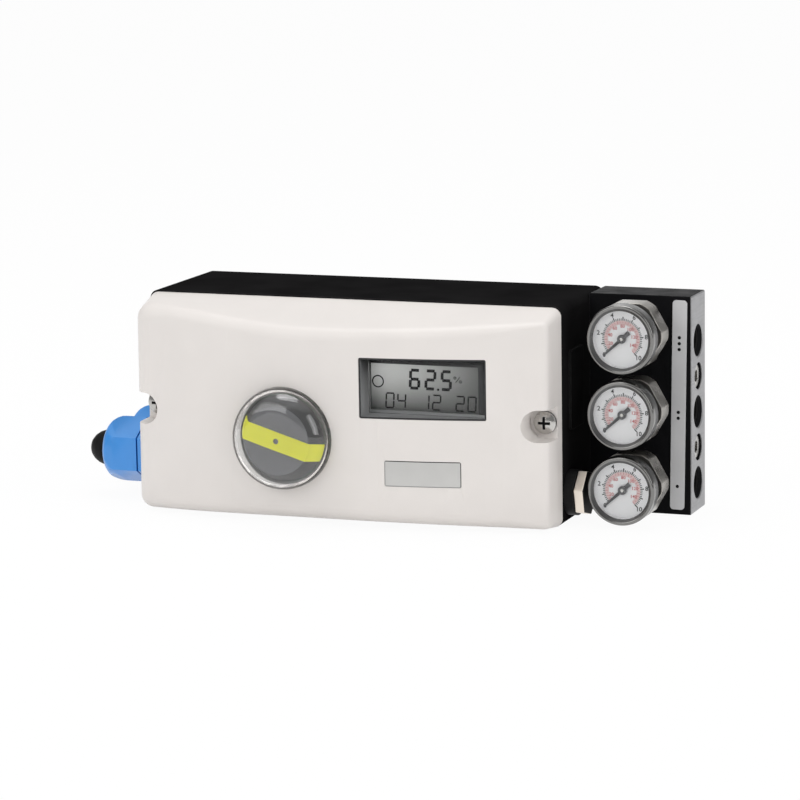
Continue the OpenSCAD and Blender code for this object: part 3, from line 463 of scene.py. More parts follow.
class Coat(Enum):
    """Every finish on the positioner."""

    COVER = Finish("cover_white", (0.76, 0.722, 0.694), 0.42, Texture.SPRAYED, specular=0.4, wander=0.015)
    CASTING = Finish("black_casting", (0.0105, 0.0102, 0.0105), 0.7, Texture.CAST, specular=0.0, wander=0.2,
                     edge_wear_and_highlight=0.2)
    RUBBER = Finish("black_rubber", (0.012, 0.012, 0.012), 0.75, Texture.RUBBED, specular=0.2, wander=0.2)
    STEEL = Finish("steel", (0.56, 0.55, 0.53), 0.26, Texture.TURNED, metallic=1.0, wander=0.05)
    DOME = ClearFinish("clear_dome", (0.985, 0.99, 0.99), 0.0, Texture.SMOOTH, ior=1.42, coat=0.3,
                       coat_ior=1.8)
    GLASS = ClearFinish("clear_glass", (0.985, 0.99, 0.985), 0.0, Texture.SMOOTH, ior=1.2)
    CAP = Finish("indicator_grey", (0.142, 0.142, 0.154), 0.5, Texture.MOULDED, specular=0.35)
    CAP_SIDE = Finish("indicator_grey", (0.026, 0.026, 0.028), 0.4, Texture.MOULDED, specular=0.3)
    STRIPE = Finish("indicator_yellow", (0.97, 0.95, 0.02), 0.45, Texture.MOULDED, specular=0.1)
    BRONZE = Finish("bronze", (0.52, 0.34, 0.15), 0.4, Texture.TURNED, metallic=1.0, wander=0.1)
    ACETAL = Finish("gear_plastic", (0.70, 0.64, 0.50), 0.45, Texture.MOULDED)
    SENSOR = Finish("sensor_blue", (0.03, 0.07, 0.22), 0.35, Texture.MOULDED)
    BOARD = BoardFinish("board_green", (0.015, 0.14, 0.06), 0.3, Texture.SMOOTH, coat=0.3)
    # Nearly white, so that the panel's painted reflection and shade set its grey.
    PANEL = DisplayFinish("display_grey", (0.96, 0.97, 0.95), 0.35, Texture.SMOOTH, wander=0.04)
    # Grey of the bezel's walls, also painted light on the ledge's left and bottom, and the grey line on the
    # plate.
    GREY_AND_PAINTED_LIGHT = Finish("bezel_grey", (0.27, 0.273, 0.277), 0.45, Texture.MOULDED, specular=0.3)
    # Dark grey of the bezel's lip, also painted shade on the ledge's top and right.
    DARK_AND_PAINTED_SHADE = Finish("bezel_grey", (0.04, 0.04, 0.042), 0.5, Texture.MOULDED, specular=0.2)
    CASE = Finish("bezel_grey", (0.075, 0.078, 0.082), 0.4, Texture.MOULDED, specular=0.4)
    PLATE = Finish("plate_silver", (0.60, 0.595, 0.58), 0.36, Texture.BRUSHED, metallic=0.8, wander=0.05)
    STRIP = Finish("plate_silver", (0.69, 0.69, 0.70), 0.5, Texture.BRUSHED_UP, metallic=0.2, specular=0.2,
                   wander=0.05)
    BUTTON = Finish("button_grey", (0.09, 0.09, 0.10), 0.5, Texture.MOULDED)
    TERMINAL = Finish("terminal_green", (0.05, 0.22, 0.10), 0.45, Texture.MOULDED)
    MODULE = Finish("module_grey", (0.17, 0.18, 0.20), 0.5, Texture.MOULDED)
    MILLED = Finish("machined_aluminium", (0.55, 0.56, 0.57), 0.35, Texture.MILLED, metallic=1.0)
    # Its end face carries a painted reflection.
    BLOCK = BlockFinish("black_anodised", (0.009, 0.009, 0.010), 0.42, Texture.MILLED, specular=0.02,
                        edge_wear_and_highlight=0.2)
    CHROME = Finish("chrome", (0.24, 0.237, 0.231), 0.16, Texture.SMOOTH, metallic=1.0, wander=0.03)
    SOCKET = Finish("chrome", (0.44, 0.42, 0.39), 0.3, Texture.MILLED, metallic=1.0, wander=0.08)
    # Dark metal: painted shade on the gauge bezels' slopes and on the screw heads' flanks, and the dark grey
    # of the bezels' backs.
    RIM_SHADE = Finish("chrome", (0.10, 0.10, 0.10), 0.3, Texture.TURNED, metallic=0.6)
    DIAL = Finish("dial_white", (0.84, 0.835, 0.85), 0.4, Texture.SMOOTH, wander=0.01)
    DIAL_BLACK = Finish("pointer_dark", (0.02, 0.02, 0.022), 0.5, Texture.SMOOTH)
    DIAL_RED = Finish("dial_white", (0.52, 0.09, 0.09), 0.5, Texture.SMOOTH)
    DIAL_PINK = Finish("dial_white", (0.79, 0.60, 0.60), 0.5, Texture.SMOOTH, wander=0.02)
    POINTER = Finish("pointer_dark", (0.11, 0.11, 0.115), 0.4, Texture.SMOOTH)
    GLAND = Finish("gland_blue", (0.033, 0.262, 0.71), 0.36, Texture.MOULDED, specular=0.6, coat=0.4)
    PLUG = Finish("plug_black", (0.010, 0.010, 0.010), 0.5, Texture.MOULDED, specular=0.1)
    NICKEL = Finish("nickel", (0.84, 0.76, 0.67), 0.34, Texture.TURNED, metallic=1.0)
    # Black of the print and of the vent's end face, also painted shade in the screw recesses and along the
    # plate's top and right.
    INK_AND_PAINTED_SHADE = Finish("bezel_grey", (0.006, 0.006, 0.007), 0.6, Texture.SMOOTH, specular=0.2)


class Rack:
    """The materials that have been made so far."""

    def __init__(self) -> None:
        """Starts with none."""
        self.made: dict[Coat, bpy.types.Material] = {}

    def take(self, coat: Coat) -> bpy.types.Material:
        """Gives a coat's material, making it the first time.

        Args:
            coat: The finish.

        Returns:
            The material.
        """
        if coat not in self.made:
            self.made[coat] = coat.value.material()
            self.made[coat].name = coat.name.lower()
        return self.made[coat]


def span(node: str) -> tuple[Vector, Vector]:
    """Gives a CAD node's lowest and highest corner in millimetres."""
    low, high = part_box(node)
    return low / MM, high / MM


def lathe(profile: Sequence[Point2], axis: str, centre: Point2 = (0, 0), steps: int = 96,
          closed: bool = True) -> BMesh:
    """Turns a profile about an axis that runs along X or Y.

    Args:
        profile: Pairs of radius and coordinate along the axis, in order.
        axis: The axis's direction, X or Y.
        centre: The axis's other two coordinates, in the order X, Y, Z.
        steps: Facets round the axis.
        closed: Whether the profile's last point joins its first.

    Returns:
        The turned mesh.
    """
    bm = bmesh.new()
    if axis == "Y":
        middle, along = Vector((centre[0], 0, centre[1])), Vector((0, 1, 0))
        points = [bm.verts.new((centre[0] + r, c, centre[1])) for r, c in profile]
    else:
        middle, along = Vector((0, centre[0], centre[1])), Vector((1, 0, 0))
        points = [bm.verts.new((c, centre[0] + r, centre[1])) for r, c in profile]
    pairs = list(zip(points, points[1:])) + ([(points[-1], points[0])] if closed else [])
    edges = [bm.edges.new(pair) for pair in pairs]
    bmesh.ops.spin(bm, geom=points + edges, cent=middle, axis=along, angle=math.tau, steps=steps,
                   use_merge=True)
    bmesh.ops.remove_doubles(bm, verts=bm.verts, dist=WELD)
    bmesh.ops.recalc_face_normals(bm, faces=bm.faces)
    return bm


def washer(centre: Point2, radii: Point2, ys: Point2, steps: int = 96) -> BMesh:
    """Turns a ring that faces the front, or a disc where it has no hole.

    Args:
        centre: X and Z of its middle.
        radii: Its inner and outer radius.
        ys: Y of its front and back.
        steps: Facets round it.

    Returns:
        The ring.
    """
    (inner, outer), (front, back) = radii, ys
    profile = [(inner, front), (outer, front), (outer, back), (inner, back)]
    return lathe(profile, "Y", centre, steps, closed=inner > 0)


def arc(centre: Point2, radius: float, start: float, end: float, cuts: int) -> list[Point2]:
    """Lists points on an arc, cut in equal parts between two angles, both ends among them."""
    turns = [math.radians(start + (end - start) * i / cuts) for i in range(cuts + 1)]
    return [(centre[0] + radius * math.cos(t), centre[1] + radius * math.sin(t)) for t in turns]


def bar(bm: BMesh, middle: Sequence[float], size: Sequence[float], turn: float = 0.0,
        slant: float = 0.0) -> None:
    """Adds a small bar to a mesh, facing the front.

    Args:
        bm: The mesh that it goes into.
        middle: Its centre.
        size: Its lengths along X, Y and Z before it turns.
        turn: Its turn about Y, clockwise seen from the front, in degrees.
        slant: How far its upright edges lean to the right, as a share of height.
    """
    shape = Matrix.Diagonal((*size, 1.0))
    lean = Matrix.Identity(4)
    lean[0][2] = slant
    place = Matrix.Translation(middle) @ Matrix.Rotation(math.radians(turn), 4, "Y") @ lean
    bmesh.ops.create_cube(bm, size=1.0, matrix=place @ shape)


def score(bm: BMesh, *cuts: tuple[str, float]) -> None:
    """Cuts a mesh's faces along planes, and takes nothing away.

    Args:
        bm: The mesh.
        cuts: The axis that each plane stands across, X or Z, and its place on it.
    """
    for axis, place in cuts:
        way = Vector((1, 0, 0) if axis == "X" else (0, 0, 1))
        geom = [*bm.verts, *bm.edges, *bm.faces]
        bmesh.ops.bisect_plane(bm, geom=geom, plane_co=way * place, plane_no=way)


def add(bm: BMesh, other: BMesh) -> None:
    """Moves another mesh's faces into a mesh.

    Args:
        bm: The mesh that takes them.
        other: The mesh that is used up.
    """
    carrier = bpy.data.meshes.new("carrier")
    other.to_mesh(carrier)
    other.free()
    bm.from_mesh(carrier)
    bpy.data.meshes.remove(carrier)


def numeral(bm: BMesh, text: str, middle: Sequence[float], height: float) -> None:
    """Adds a plain number that faces the front.

    Args:
        bm: The mesh that it goes into.
        text: The number.
        middle: Its centre.
        height: Height of the figures.
    """
    curve = bpy.data.curves.new("numeral", "FONT")
    curve.body, curve.size = text, height / FONT_SHARE
    curve.align_x, curve.align_y = "CENTER", "CENTER"
    curve.extrude, curve.resolution_u = PRINT, 3
    curve.offset = height * FONT_BOLD
    holder = bpy.data.objects.new("numeral", curve)
    mesh = bpy.data.meshes.new_from_object(holder)
    mesh.transform(Matrix.Translation(middle) @ Matrix.Rotation(math.pi / 2, 4, "X"))
    bm.from_mesh(mesh)
    bpy.data.objects.remove(holder)
    bpy.data.curves.remove(curve)
    bpy.data.meshes.remove(mesh)


@dataclass(frozen=True)
class Thread:
    """The thread of a tapped hole, as a thin grooved sleeve just inside its wall."""

    radius: float
    pitch: float
    room: float = 0.01
    root: float = 0.06
    ridge_share: float = 0.42

    def cut(self, axis: str, centre: Point2, start: float, end: float) -> BMesh:
        """Makes the thread of one hole.

        Args:
            axis: The hole's direction, X or Y.
            centre: Its axis's other two coordinates.
            start: Where the thread starts along the axis.
            end: Where it ends.

        Returns:
            The sleeve.
        """
        count = int((end - start) / self.pitch)
        stop = start + self.pitch * count
        outer = self.radius - self.room
        root, ridge = outer - self.root, outer - self.pitch * self.ridge_share
        profile: list[Point2] = []
        for i in range(count):
            profile += [(root, start + self.pitch * i), (ridge, start + self.pitch * (i + 0.5))]
        profile += [(root, stop), (outer, stop), (outer, start)]
        return lathe(profile, axis, centre, steps=40)


class Shop:
    """Makes objects of finished meshes and sets them on the CAD bodies."""

    JOIN: ClassVar[float] = 0.002
    FLAT: ClassVar[float] = 0.3
    EASED: ClassVar[float] = 35.0
    EASE_FACETS: ClassVar[int] = 2
    FACE_WEIGHT: ClassVar[int] = 90

    def __init__(self) -> None:
        """Starts with an empty rack of finishes."""
        self.rack = Rack()

    def place(self, bm: BMesh, name: str, body: str, coats: Sequence[Coat], stands_for: Iterable[str] = (),
              angle: float = SHARP) -> bpy.types.Object:
        """Makes a piece of a mesh in millimetres.

        Args:
            bm: The mesh, which is used up.
            name: The piece's name.
            body: The CAD body that it rides on.
            coats: Its finishes, the main one first.
            stands_for: CAD nodes that it replaces.
            angle: Edges sharper than this, in degrees, stay sharp.

        Returns:
            The piece.
        """
        bmesh.ops.scale(bm, vec=(MM, MM, MM), verts=bm.verts)
        mesh = bpy.data.meshes.new(name)
        bm.to_mesh(mesh)
        bm.free()
        mesh.shade_smooth()
        mesh.set_sharp_from_angle(angle=math.radians(angle))
        for coat in coats:
            mesh.materials.append(self.rack.take(coat))
        piece = bpy.data.objects.new(name, mesh)
        bpy.context.scene.collection.objects.link(piece)
        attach(piece, body)
        if stands_for:
            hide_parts(*stands_for)
        LOG.info("piece %s: %d faces on %s", name, len(mesh.polygons), body)
        return piece

    def recut(self, node: str) -> BMesh:
        """Copies a CAD node's mesh with its loose triangles joined up, in millimetres.

        Args:
            node: The CAD node.

        Returns:
            The joined mesh.
        """
        bm = bmesh.new()
        bm.from_mesh(frame["nodes"][node].data)
        bmesh.ops.scale(bm, vec=(1 / MM,) * 3, verts=bm.verts)
        bmesh.ops.remove_doubles(bm, verts=bm.verts, dist=self.JOIN)
        bmesh.ops.dissolve_limit(bm, angle_limit=math.radians(self.FLAT), verts=bm.verts, edges=bm.edges)
        return bm

    def stand_in(self, bm: BMesh, node: str, coats: Sequence[Coat], edge: float = 0.0,
                 angle: float = SHARP) -> bpy.types.Object:
        """Replaces a CAD node by a mesh in millimetres, with its sharp edges eased by a modifier.

        Args:
            bm: The mesh, which is used up.
            node: The CAD node.
            coats: The piece's finishes, the main one first.
            edge: Width of the eased edges in millimetres, or 0 for none.
            angle: Edges sharper than this, in degrees, stay sharp.

        Returns:
            The piece.
        """
        body = frame["nodes"][node]["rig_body"]
        piece = self.place(bm, f"{node}_dressed", body, coats, [node], angle)
        if edge:
            bevel = piece.modifiers.new("edges", "BEVEL")
            bevel.width, bevel.segments = edge * MM, self.EASE_FACETS
            bevel.limit_method, bevel.angle_limit = "ANGLE", math.radians(self.EASED)
            bevel.harden_normals = True
        return piece

    def refine(self, node: str, coat: Coat, edge: float = 0.0, angle: float = SHARP) -> bpy.types.Object:
        """Replaces a CAD node by a copy of one finish, with smooth curves and eased edges."""
        return self.stand_in(self.recut(node), node, [coat], edge, angle)

    def level(self, piece: bpy.types.Object) -> None:
        """Lets a piece's large flat faces look flat beside their rounded edges."""
        weigh = piece.modifiers.new("normals", "WEIGHTED_NORMAL")
        weigh.weight, weigh.keep_sharp = self.FACE_WEIGHT, True

    def dress(self, node: str, coat: Coat) -> None:
        """Gives a CAD node that stays as it is its finish.

        Args:
            node: The CAD node.
            coat: Its finish.
        """
        for held in frame["nodes"][node].material_slots:
            held.link = "OBJECT"
            held.material = self.rack.take(coat)
        LOG.info("node %s: %s", node, coat.name)


@dataclass
class Casing:
    """The housing, its cover, and what holds and seals them."""

    shop: Shop
    cover_edge: float = 0.35
    housing_edge: float = 0.6
    screw_edge: float = 0.15
    recess_r: float = 2.85
    recess_depths: Point2 = (0.8, 2.8)
    shaded_flank_facing: float = 0.3
    plate_edge: float = 0.12
    plate_shade_line: float = 0.4
    plate_grey_line: float = 0.3
    tapped: Thread = Thread(radius=3.4, pitch=1.25)
    tapped_ys: Point2 = (-9.0, -0.4)
    tapped_at: tuple[Point2, ...] = ((-30, -25), (30, -25), (-30, 25), (30, 25))

    def build(self) -> None:
        """Dresses the casing."""
        self.shop.level(self.shop.refine("housing", Coat.CASTING, self.housing_edge))
        self.shop.refine("cover", Coat.COVER, self.cover_edge)
        self.screws()
        self.plate()
        self.shop.dress("cover_gasket", Coat.RUBBER)
        self.shop.dress("window_seal", Coat.RUBBER)
        self.tapped_holes()

    def screws(self) -> None:
        """Dresses the cover screws, with flanks and cross recesses in their heads painted dark as painted
        shade.
        """
        low, high = span("cover_screws")
        head_r = (high.z - low.z) / 2
        centres = [(x, low.z + head_r) for x in (low.x + head_r, high.x - head_r)]
        lip, floor = (low.y + depth for depth in self.recess_depths)
        bm = self.shop.recut("cover_screws")
        for face in bm.faces:
            spot = face.calc_center_median()
            reach = min(math.hypot(spot.x - x, spot.z - z) for x, z in centres)
            # Painted shade: head flanks and cross recesses get dark finishes.
            flank = abs(face.normal.y) < self.shaded_flank_facing
            shaded_recess = reach < self.recess_r and (flank or spot.y > lip) and spot.y < floor
            face.material_index = 1 if shaded_recess else 2 * int(flank)
        self.shop.stand_in(bm, "cover_screws", [Coat.STEEL, Coat.INK_AND_PAINTED_SHADE, Coat.RIM_SHADE], self.screw_edge)

    def plate(self) -> None:
        """Dresses the plain plate, with a dark line at its top and right as painted shade of its edges, and a
        grey one elsewhere.
        """
        low, high = span("name_plate")
        top, right = high.z - self.plate_shade_line, high.x - self.plate_shade_line
        base, left = low.z + self.plate_grey_line, low.x + self.plate_grey_line
        bm = self.shop.recut("name_plate")
        score(bm, ("Z", top), ("X", right), ("Z", base), ("X", left))
        for face in bm.faces:
            spot = face.calc_center_median()
            # Painted shade: a dark band along the top and right edges; a grey band along the bottom and left.
            dark, grey_line = spot.z > top or spot.x > right, spot.z < base or spot.x < left
            face.material_index = 1 if dark else 2 * int(grey_line)
        self.shop.stand_in(bm, "name_plate", [Coat.PLATE, Coat.INK_AND_PAINTED_SHADE, Coat.GREY_AND_PAINTED_LIGHT], self.plate_edge)

    def tapped_holes(self) -> None:
        """Cuts threads in the mounting holes at the back."""
        bm = bmesh.new()
        for centre in self.tapped_at:
            add(bm, self.tapped.cut("Y", centre, *self.tapped_ys))
        self.shop.place(bm, "mounting_threads", "case", [Coat.CASTING])


@dataclass
class IndicatorWindow:
    """The clear dome with the turning indicator under it."""

    shop: Shop
    wall: float = 1.6
    edge_r: float = 10.7
    crown: float = 0.5
    crown_r: float = 6.0
    crown_share: float = 0.2
    flange_t: float = 2.0
    flange_slack: float = 0.1
    neck_r: float = 22.35
    cap_edge: float = 0.3
    cap_facing: float = -0.95
    stripe_edge: float = 0.1

    def build(self) -> None:
        """Builds the dome and dresses the indicator."""
        self.dome()
        self.cap()
        self.shop.refine("indicator_stripe", Coat.STRIPE, self.stripe_edge)

    def cap(self) -> None:
        """Dresses the cap, with a dark flank round its grey face."""
        bm = self.shop.recut("indicator_cap")
        for face in bm.faces:
            face.material_index = int(face.normal.y > self.cap_facing)
        self.shop.stand_in(bm, "indicator_cap", [Coat.CAP, Coat.CAP_SIDE], self.cap_edge)

    def dome(self) -> None:
        """Turns the dome with its flange and a slightly crowned front, the flange in black rubber."""
        low, high = span("window_dome")
        front, end, flange_r = low.y, high.y, high.x
        bend_r, shoulder, inner_r = self.neck_r - self.edge_r, front + self.crown, self.edge_r - self.wall
        outer = arc((bend_r, shoulder + self.edge_r), self.edge_r, -90, 0, cuts=16)
        inner = arc((bend_r, front + self.wall + inner_r), inner_r, 0, -90, cuts=14)
        flange = [(self.neck_r, end - self.flange_t), (flange_r, end - self.flange_t), (flange_r, end)]
        profile = [(0, front), (self.crown_r, front + self.crown * self.crown_share), *outer, *flange]
        profile += [(self.neck_r - self.wall, end), *inner, (0, front + self.wall)]
        bm = lathe(profile, "Y", steps=128, closed=False)
        # Black rubber on the flange: partly a seal the dome sits in, partly painted shade that darkens the
        # rim seen through the clear wall.
        for face in bm.faces:
            face.material_index = int(face.calc_center_median().y > end - self.flange_t - self.flange_slack)
        self.shop.place(bm, "window_dome_clear", "case", [Coat.DOME, Coat.RUBBER], ["window_dome"])


@dataclass(frozen=True)
class FigureRow:
    """A row of figures: its place from the panel's left and top, and the sizes of its figures."""

    left: float
    top: float
    width: float
    height: float
    pitch: float
    stroke: float


@dataclass
class Display:
    """The display window: its bezel, glass, panel and figures."""

    shop: Shop
    reading: str = "62.5"
    reading_row: FigureRow = FigureRow(17.5, 2.0, width=5.2, height=9.1, pitch=7.2, stroke=1.3)
    second: str = "04 12 20"
    second_row: FigureRow = FigureRow(6.5, 12.8, width=4.2, height=7.0, pitch=5.35, stroke=0.7)
    view_x: Point2 = (36.1, 85.7)
    view_z: Point2 = (12.4, 32.7)
    bezel_edge: float = 0.25
    bezel_facing: float = -0.9
    glass_edge: float = 0.1
    glass_lift: float = 0.05
    print_lift: float = 0.03
    slant: float = 0.05
    section_ends: Point2 = (1.25, 1.1)
    point_at: Point2 = (-1.15, 0.45)
    point_size: Point3 = (0.95, 2 * PRINT, 0.9)
    ring_at: Point2 = (3.2, 8.2)
    ring_radii: Point2 = (2.2, 2.75)
    percent_at: Point2 = (0.6, 4.0)
    percent_bar: Point3 = (0.34, 2 * PRINT, 3.2)
    percent_turn: float = 38.0
    percent_dot_at: Point2 = (1.25, 0.8)
    percent_dot_radii: Point2 = (0.32, 0.68)

    SECTIONS: ClassVar[dict[str, tuple[float, float, bool]]] = {
        "a": (0.5, 0.0, True), "g": (0.5, 0.5, True), "d": (0.5, 1.0, True), "f": (0.0, 0.25, False),
        "b": (1.0, 0.25, False), "e": (0.0, 0.75, False), "c": (1.0, 0.75, False)}
    SIGNS: ClassVar[dict[str, str]] = {
        "0": "abcdef", "1": "bc", "2": "abdeg", "3": "abcdg", "4": "bcfg", "5": "acdfg", "6": "acdefg",
        "7": "abc", "8": "abcdefg", "9": "abcdfg"}

    def build(self) -> None:
        """Builds the display."""
        self.grey_and_painted_light()
        self.glass()
        self.shop.dress("lcd_module", Coat.PANEL)
        self.figures()

    def grey_and_painted_light(self) -> None:
        """Dresses the bezel, with a dark lip, a dark ledge along the top and right of the panel as painted
        shade, and a pale ledge along the bottom and left as painted light.
        """
        left, low = self.view_x[0], self.view_z[0]
        seat = span("lcd_glass")[0].y
        bm = self.shop.recut("lcd_bezel")
        score(bm, ("X", left), ("Z", low))
        for face in bm.faces:
            spot = face.calc_center_median()
            # Painted light and shade: front faces of the ledge at the left and bottom stay pale, the rest of
            # the front faces go dark.
            pale = spot.y > seat and (spot.x < left or spot.z < low)
            face.material_index = int(face.normal.y < self.bezel_facing and not pale)
        self.shop.stand_in(bm, "lcd_bezel", [Coat.GREY_AND_PAINTED_LIGHT, Coat.DARK_AND_PAINTED_SHADE], self.bezel_edge)

    def glass(self) -> None:
        """Dresses the glass, with its back a hair off the ledge so that the ledge shows through it."""
        low, high = span("lcd_glass")
        bm = self.shop.recut("lcd_glass")
        back = [v for v in bm.verts if v.co.y > (low.y + high.y) / 2]
        bmesh.ops.translate(bm, vec=(0, -self.glass_lift, 0), verts=back)
        self.shop.stand_in(bm, "lcd_glass", [Coat.GLASS], self.glass_edge)

    def figures(self) -> None:
        """Lays the reading, its percent sign, a ring mark and the second row on the panel."""
        y = span("lcd_module")[0].y - self.print_lift
        left, top, row = self.view_x[0], self.view_z[1], self.reading_row
        bm = bmesh.new()
        x = left + row.left
        for sign in self.reading:
            if sign == ".":
                base = top - row.top - row.height
                bar(bm, (x + self.point_at[0], y, base + self.point_at[1]), self.point_size)
                continue
            self.figure(bm, sign, row, x, y)
            x += row.pitch
        self.percent(bm, x + self.percent_at[0], top - row.top - self.percent_at[1], y)
        for i, sign in enumerate(self.second):
            self.figure(bm, sign, self.second_row, left + self.second_row.left + i * self.second_row.pitch, y)
        centre = (left + self.ring_at[0], top - self.ring_at[1])
        add(bm, washer(centre, self.ring_radii, (y - PRINT, y + PRINT), steps=48))
        self.shop.place(bm, "display_figures", "case", [Coat.INK_AND_PAINTED_SHADE])

    def figure(self, bm: BMesh, sign: str, row: FigureRow, left: float, y: float) -> None:
        """Adds one figure made of seven sections.

        Args:
            bm: The mesh that it goes into.
            sign: The figure.
            row: The row that it stands in.
            left: X of its left side.
            y: Where it lies.
        """
        stroke, top = row.stroke, self.view_z[1] - row.top
        long, tall = row.width - stroke * self.section_ends[0], row.height / 2 - stroke * self.section_ends[1]
        for section in self.SIGNS.get(sign, ""):
            across, down, level = self.SECTIONS[section]
            x = left + stroke / 2 + (row.width - stroke) * across + self.slant * row.height * (0.5 - down)
            z = top - stroke / 2 - (row.height - stroke) * down
            size = (long, 2 * PRINT, stroke) if level else (stroke, 2 * PRINT, tall)
            bar(bm, (x, y, z), size, slant=self.slant)

    def percent(self, bm: BMesh, x: float, z: float, y: float) -> None:
        """Adds a small percent sign.

        Args:
            bm: The mesh that it goes into.
            x: X of its middle.
            z: Z of its middle.
            y: Where it lies.
        """
        bar(bm, (x, y, z), self.percent_bar, self.percent_turn)
        for side in (-1, 1):
            centre = (x + side * self.percent_dot_at[0], z - side * self.percent_dot_at[1])
            add(bm, washer(centre, self.percent_dot_radii, (y - PRINT, y + PRINT), steps=20))


@dataclass(frozen=True)
class Ticks:
    """A ring of scale marks: radius, width and length of the short ones and of the long ones."""

    spaces: int
    long_each: int
    short: Point3
    long: Point3


@dataclass
class GaugeRow:
    """Three pressure gauges one above the other."""

    shop: Shop
    bezel_r: float = 15.0
    bezel_len: float = 7.5
    rim_len: float = 2.8
    rim_r: float = 0.9
    rear_r: float = 0.5
    land: float = 2.6
    slope_w: float = 1.5
    slope_top: float = 0.95
    wall: float = 1.2
    lip: float = 1.2
    hub_r: float = 2.0
    stout: float = 1.6
    pin_r: float = 0.75
    pin_edge: float = 0.2
    pin_rise: float = 0.22
    pin_sunk: float = 0.1
    liner_radii: Point2 = (12.35, 12.43)
    liner_gap: float = 0.05
    socket_edge: float = 0.3
    start: float = 228.0
    sweep: float = 270.0
    tick_t: float = 0.03
    outer_ticks: Ticks = Ticks(50, 5, short=(8.4, 0.34, 1.0), long=(8.75, 0.5, 1.6))
    outer_figures: tuple[str, ...] = ("0", "2", "4", "6", "8", "10")
    outer_figure_r: float = 10.8
    outer_figure_h: float = 1.9
    inner_ticks: Ticks = Ticks(28, 4, short=(7.2, 0.2, 0.7), long=(7.2, 0.2, 1.2))
    inner_figures: tuple[str, ...] = ("20", "40", "60", "80", "100", "120", "140")
    inner_figure_r: float = 5.5
    inner_figure_h: float = 1.4
    band_parts: int = 90
    band_r: float = 7.1
    band_size: Point3 = (0.42, 0.01, 1.8)
    centres: list[Point2] = field(default_factory=list)

    def build(self) -> None:
        """Builds the gauges."""
        pitch = span("gauge_pointer_2")[0].z - span("gauge_pointer_1")[0].z
        low, high = span("gauge_bezels")
        x, z = (low.x + high.x) / 2, low.z + self.bezel_r
        self.centres = [(x, z + pitch * i) for i in range(3)]
        self.bezels(low.y)
        self.liners()
        self.faces()
        self.pointers()
        self.shop.refine("gauge_sockets", Coat.SOCKET, self.socket_edge)
        for node, coat in (("cases", Coat.CASE), ("dials", Coat.DIAL), ("glasses", Coat.GLASS)):
            self.shop.refine(f"gauge_{node}", coat)
        self.shop.dress("bourdon_tubes", Coat.BRONZE)

    def bezels(self, front: float) -> None:
        """Turns the bezels, with a round outer rim, a slope down to the glass painted darker as painted
        shade, and a dark back.

        Args:
            front: Y of the bezels' front.
        """
        outer, inner, thin = self.bezel_r, self.bezel_r - self.land, self.bezel_r - self.wall
        back = front + self.bezel_len
        profile = [(inner, front + self.lip), (inner, front + self.slope_top)]
        profile += arc((outer - self.rim_r, front + self.rim_r), self.rim_r, -135, 0, cuts=8)
        profile.append((outer, front + self.rim_len))
        profile += arc((outer - self.rear_r, back - self.rear_r), self.rear_r, 0, 90, cuts=4)
        profile += [(thin, back), (thin, front + self.lip)]
        bm = bmesh.new()
        for centre in self.centres:
            ring = lathe(profile, "Y", centre)
            for face in ring.faces:
                spot = face.calc_center_median()
                reach = math.hypot(spot.x - centre[0], spot.z - centre[1])
                # Painted shade on the slope; the back is dark grey.
                slope = reach < outer - self.slope_w and spot.y < front + self.lip
                face.material_index = int(slope or spot.y > front + self.rim_len)
            add(bm, ring)
        self.shop.place(bm, "gauge_bezels_turned", "case", [Coat.CHROME, Coat.RIM_SHADE], ["gauge_bezels"])

    def liners(self) -> None:
        """Turns the white liners that stand between the dials and the glasses."""
        ys = (span("gauge_glasses")[1].y + self.liner_gap, span("gauge_dials")[0].y - PRINT)
        bm = bmesh.new()
        for centre in self.centres:
            add(bm, washer(centre, self.liner_radii, ys))
        self.shop.place(bm, "gauge_liners", "case", [Coat.DIAL])

    def spot(self, centre: Point2, share: float, radius: float) -> Point3:
        """Finds a point of the scale.

        Args:
            centre: The gauge's centre.
            share: How far along the scale, 0 to 1.
            radius: Distance from the centre.

        Returns:
            X, Z and the turn from upright in degrees.
        """
        turn = self.start + self.sweep * share
        angle = math.radians(turn)
        return centre[0] + radius * math.sin(angle), centre[1] + radius * math.cos(angle), turn

    def ticks(self, bm: BMesh, centre: Point2, ring: Ticks, y: float) -> None:
        """Adds a ring of scale marks.

        Args:
            bm: The mesh that it goes into.
            centre: The gauge's centre.
            ring: The marks.
            y: Where they lie.
        """
        for i in range(ring.spaces + 1):
            radius, width, length = ring.short if i % ring.long_each else ring.long
            x, z, turn = self.spot(centre, i / ring.spaces, radius)
            bar(bm, (x, y, z), (width, self.tick_t, length), turn)

    def faces(self) -> None:
        """Prints the scales on the dials: black outside, red on a pale band inside."""
        y = span("gauge_dials")[0].y - PRINT
        black, red, pink = bmesh.new(), bmesh.new(), bmesh.new()
        for centre in self.centres:
            self.ticks(black, centre, self.outer_ticks, y)
            for i, text in enumerate(self.outer_figures):
                x, z, _ = self.spot(centre, i / (len(self.outer_figures) - 1), self.outer_figure_r)
                numeral(black, text, (x, y, z), self.outer_figure_h)
            self.ticks(red, centre, self.inner_ticks, y)
            for i, text in enumerate(self.inner_figures):
                x, z, _ = self.spot(centre, (i + 0.5) / len(self.inner_figures), self.inner_figure_r)
                numeral(red, text, (x, y, z), self.inner_figure_h)
            for i in range(self.band_parts):
                x, z, turn = self.spot(centre, (i + 0.5) / self.band_parts, self.band_r)
                bar(pink, (x, y + self.band_size[1], z), self.band_size, turn)
        self.shop.place(black, "dial_scale_black", "case", [Coat.DIAL_BLACK])
        self.shop.place(red, "dial_scale_red", "case", [Coat.DIAL_RED])
        self.shop.place(pink, "dial_scale_band", "case", [Coat.DIAL_PINK])

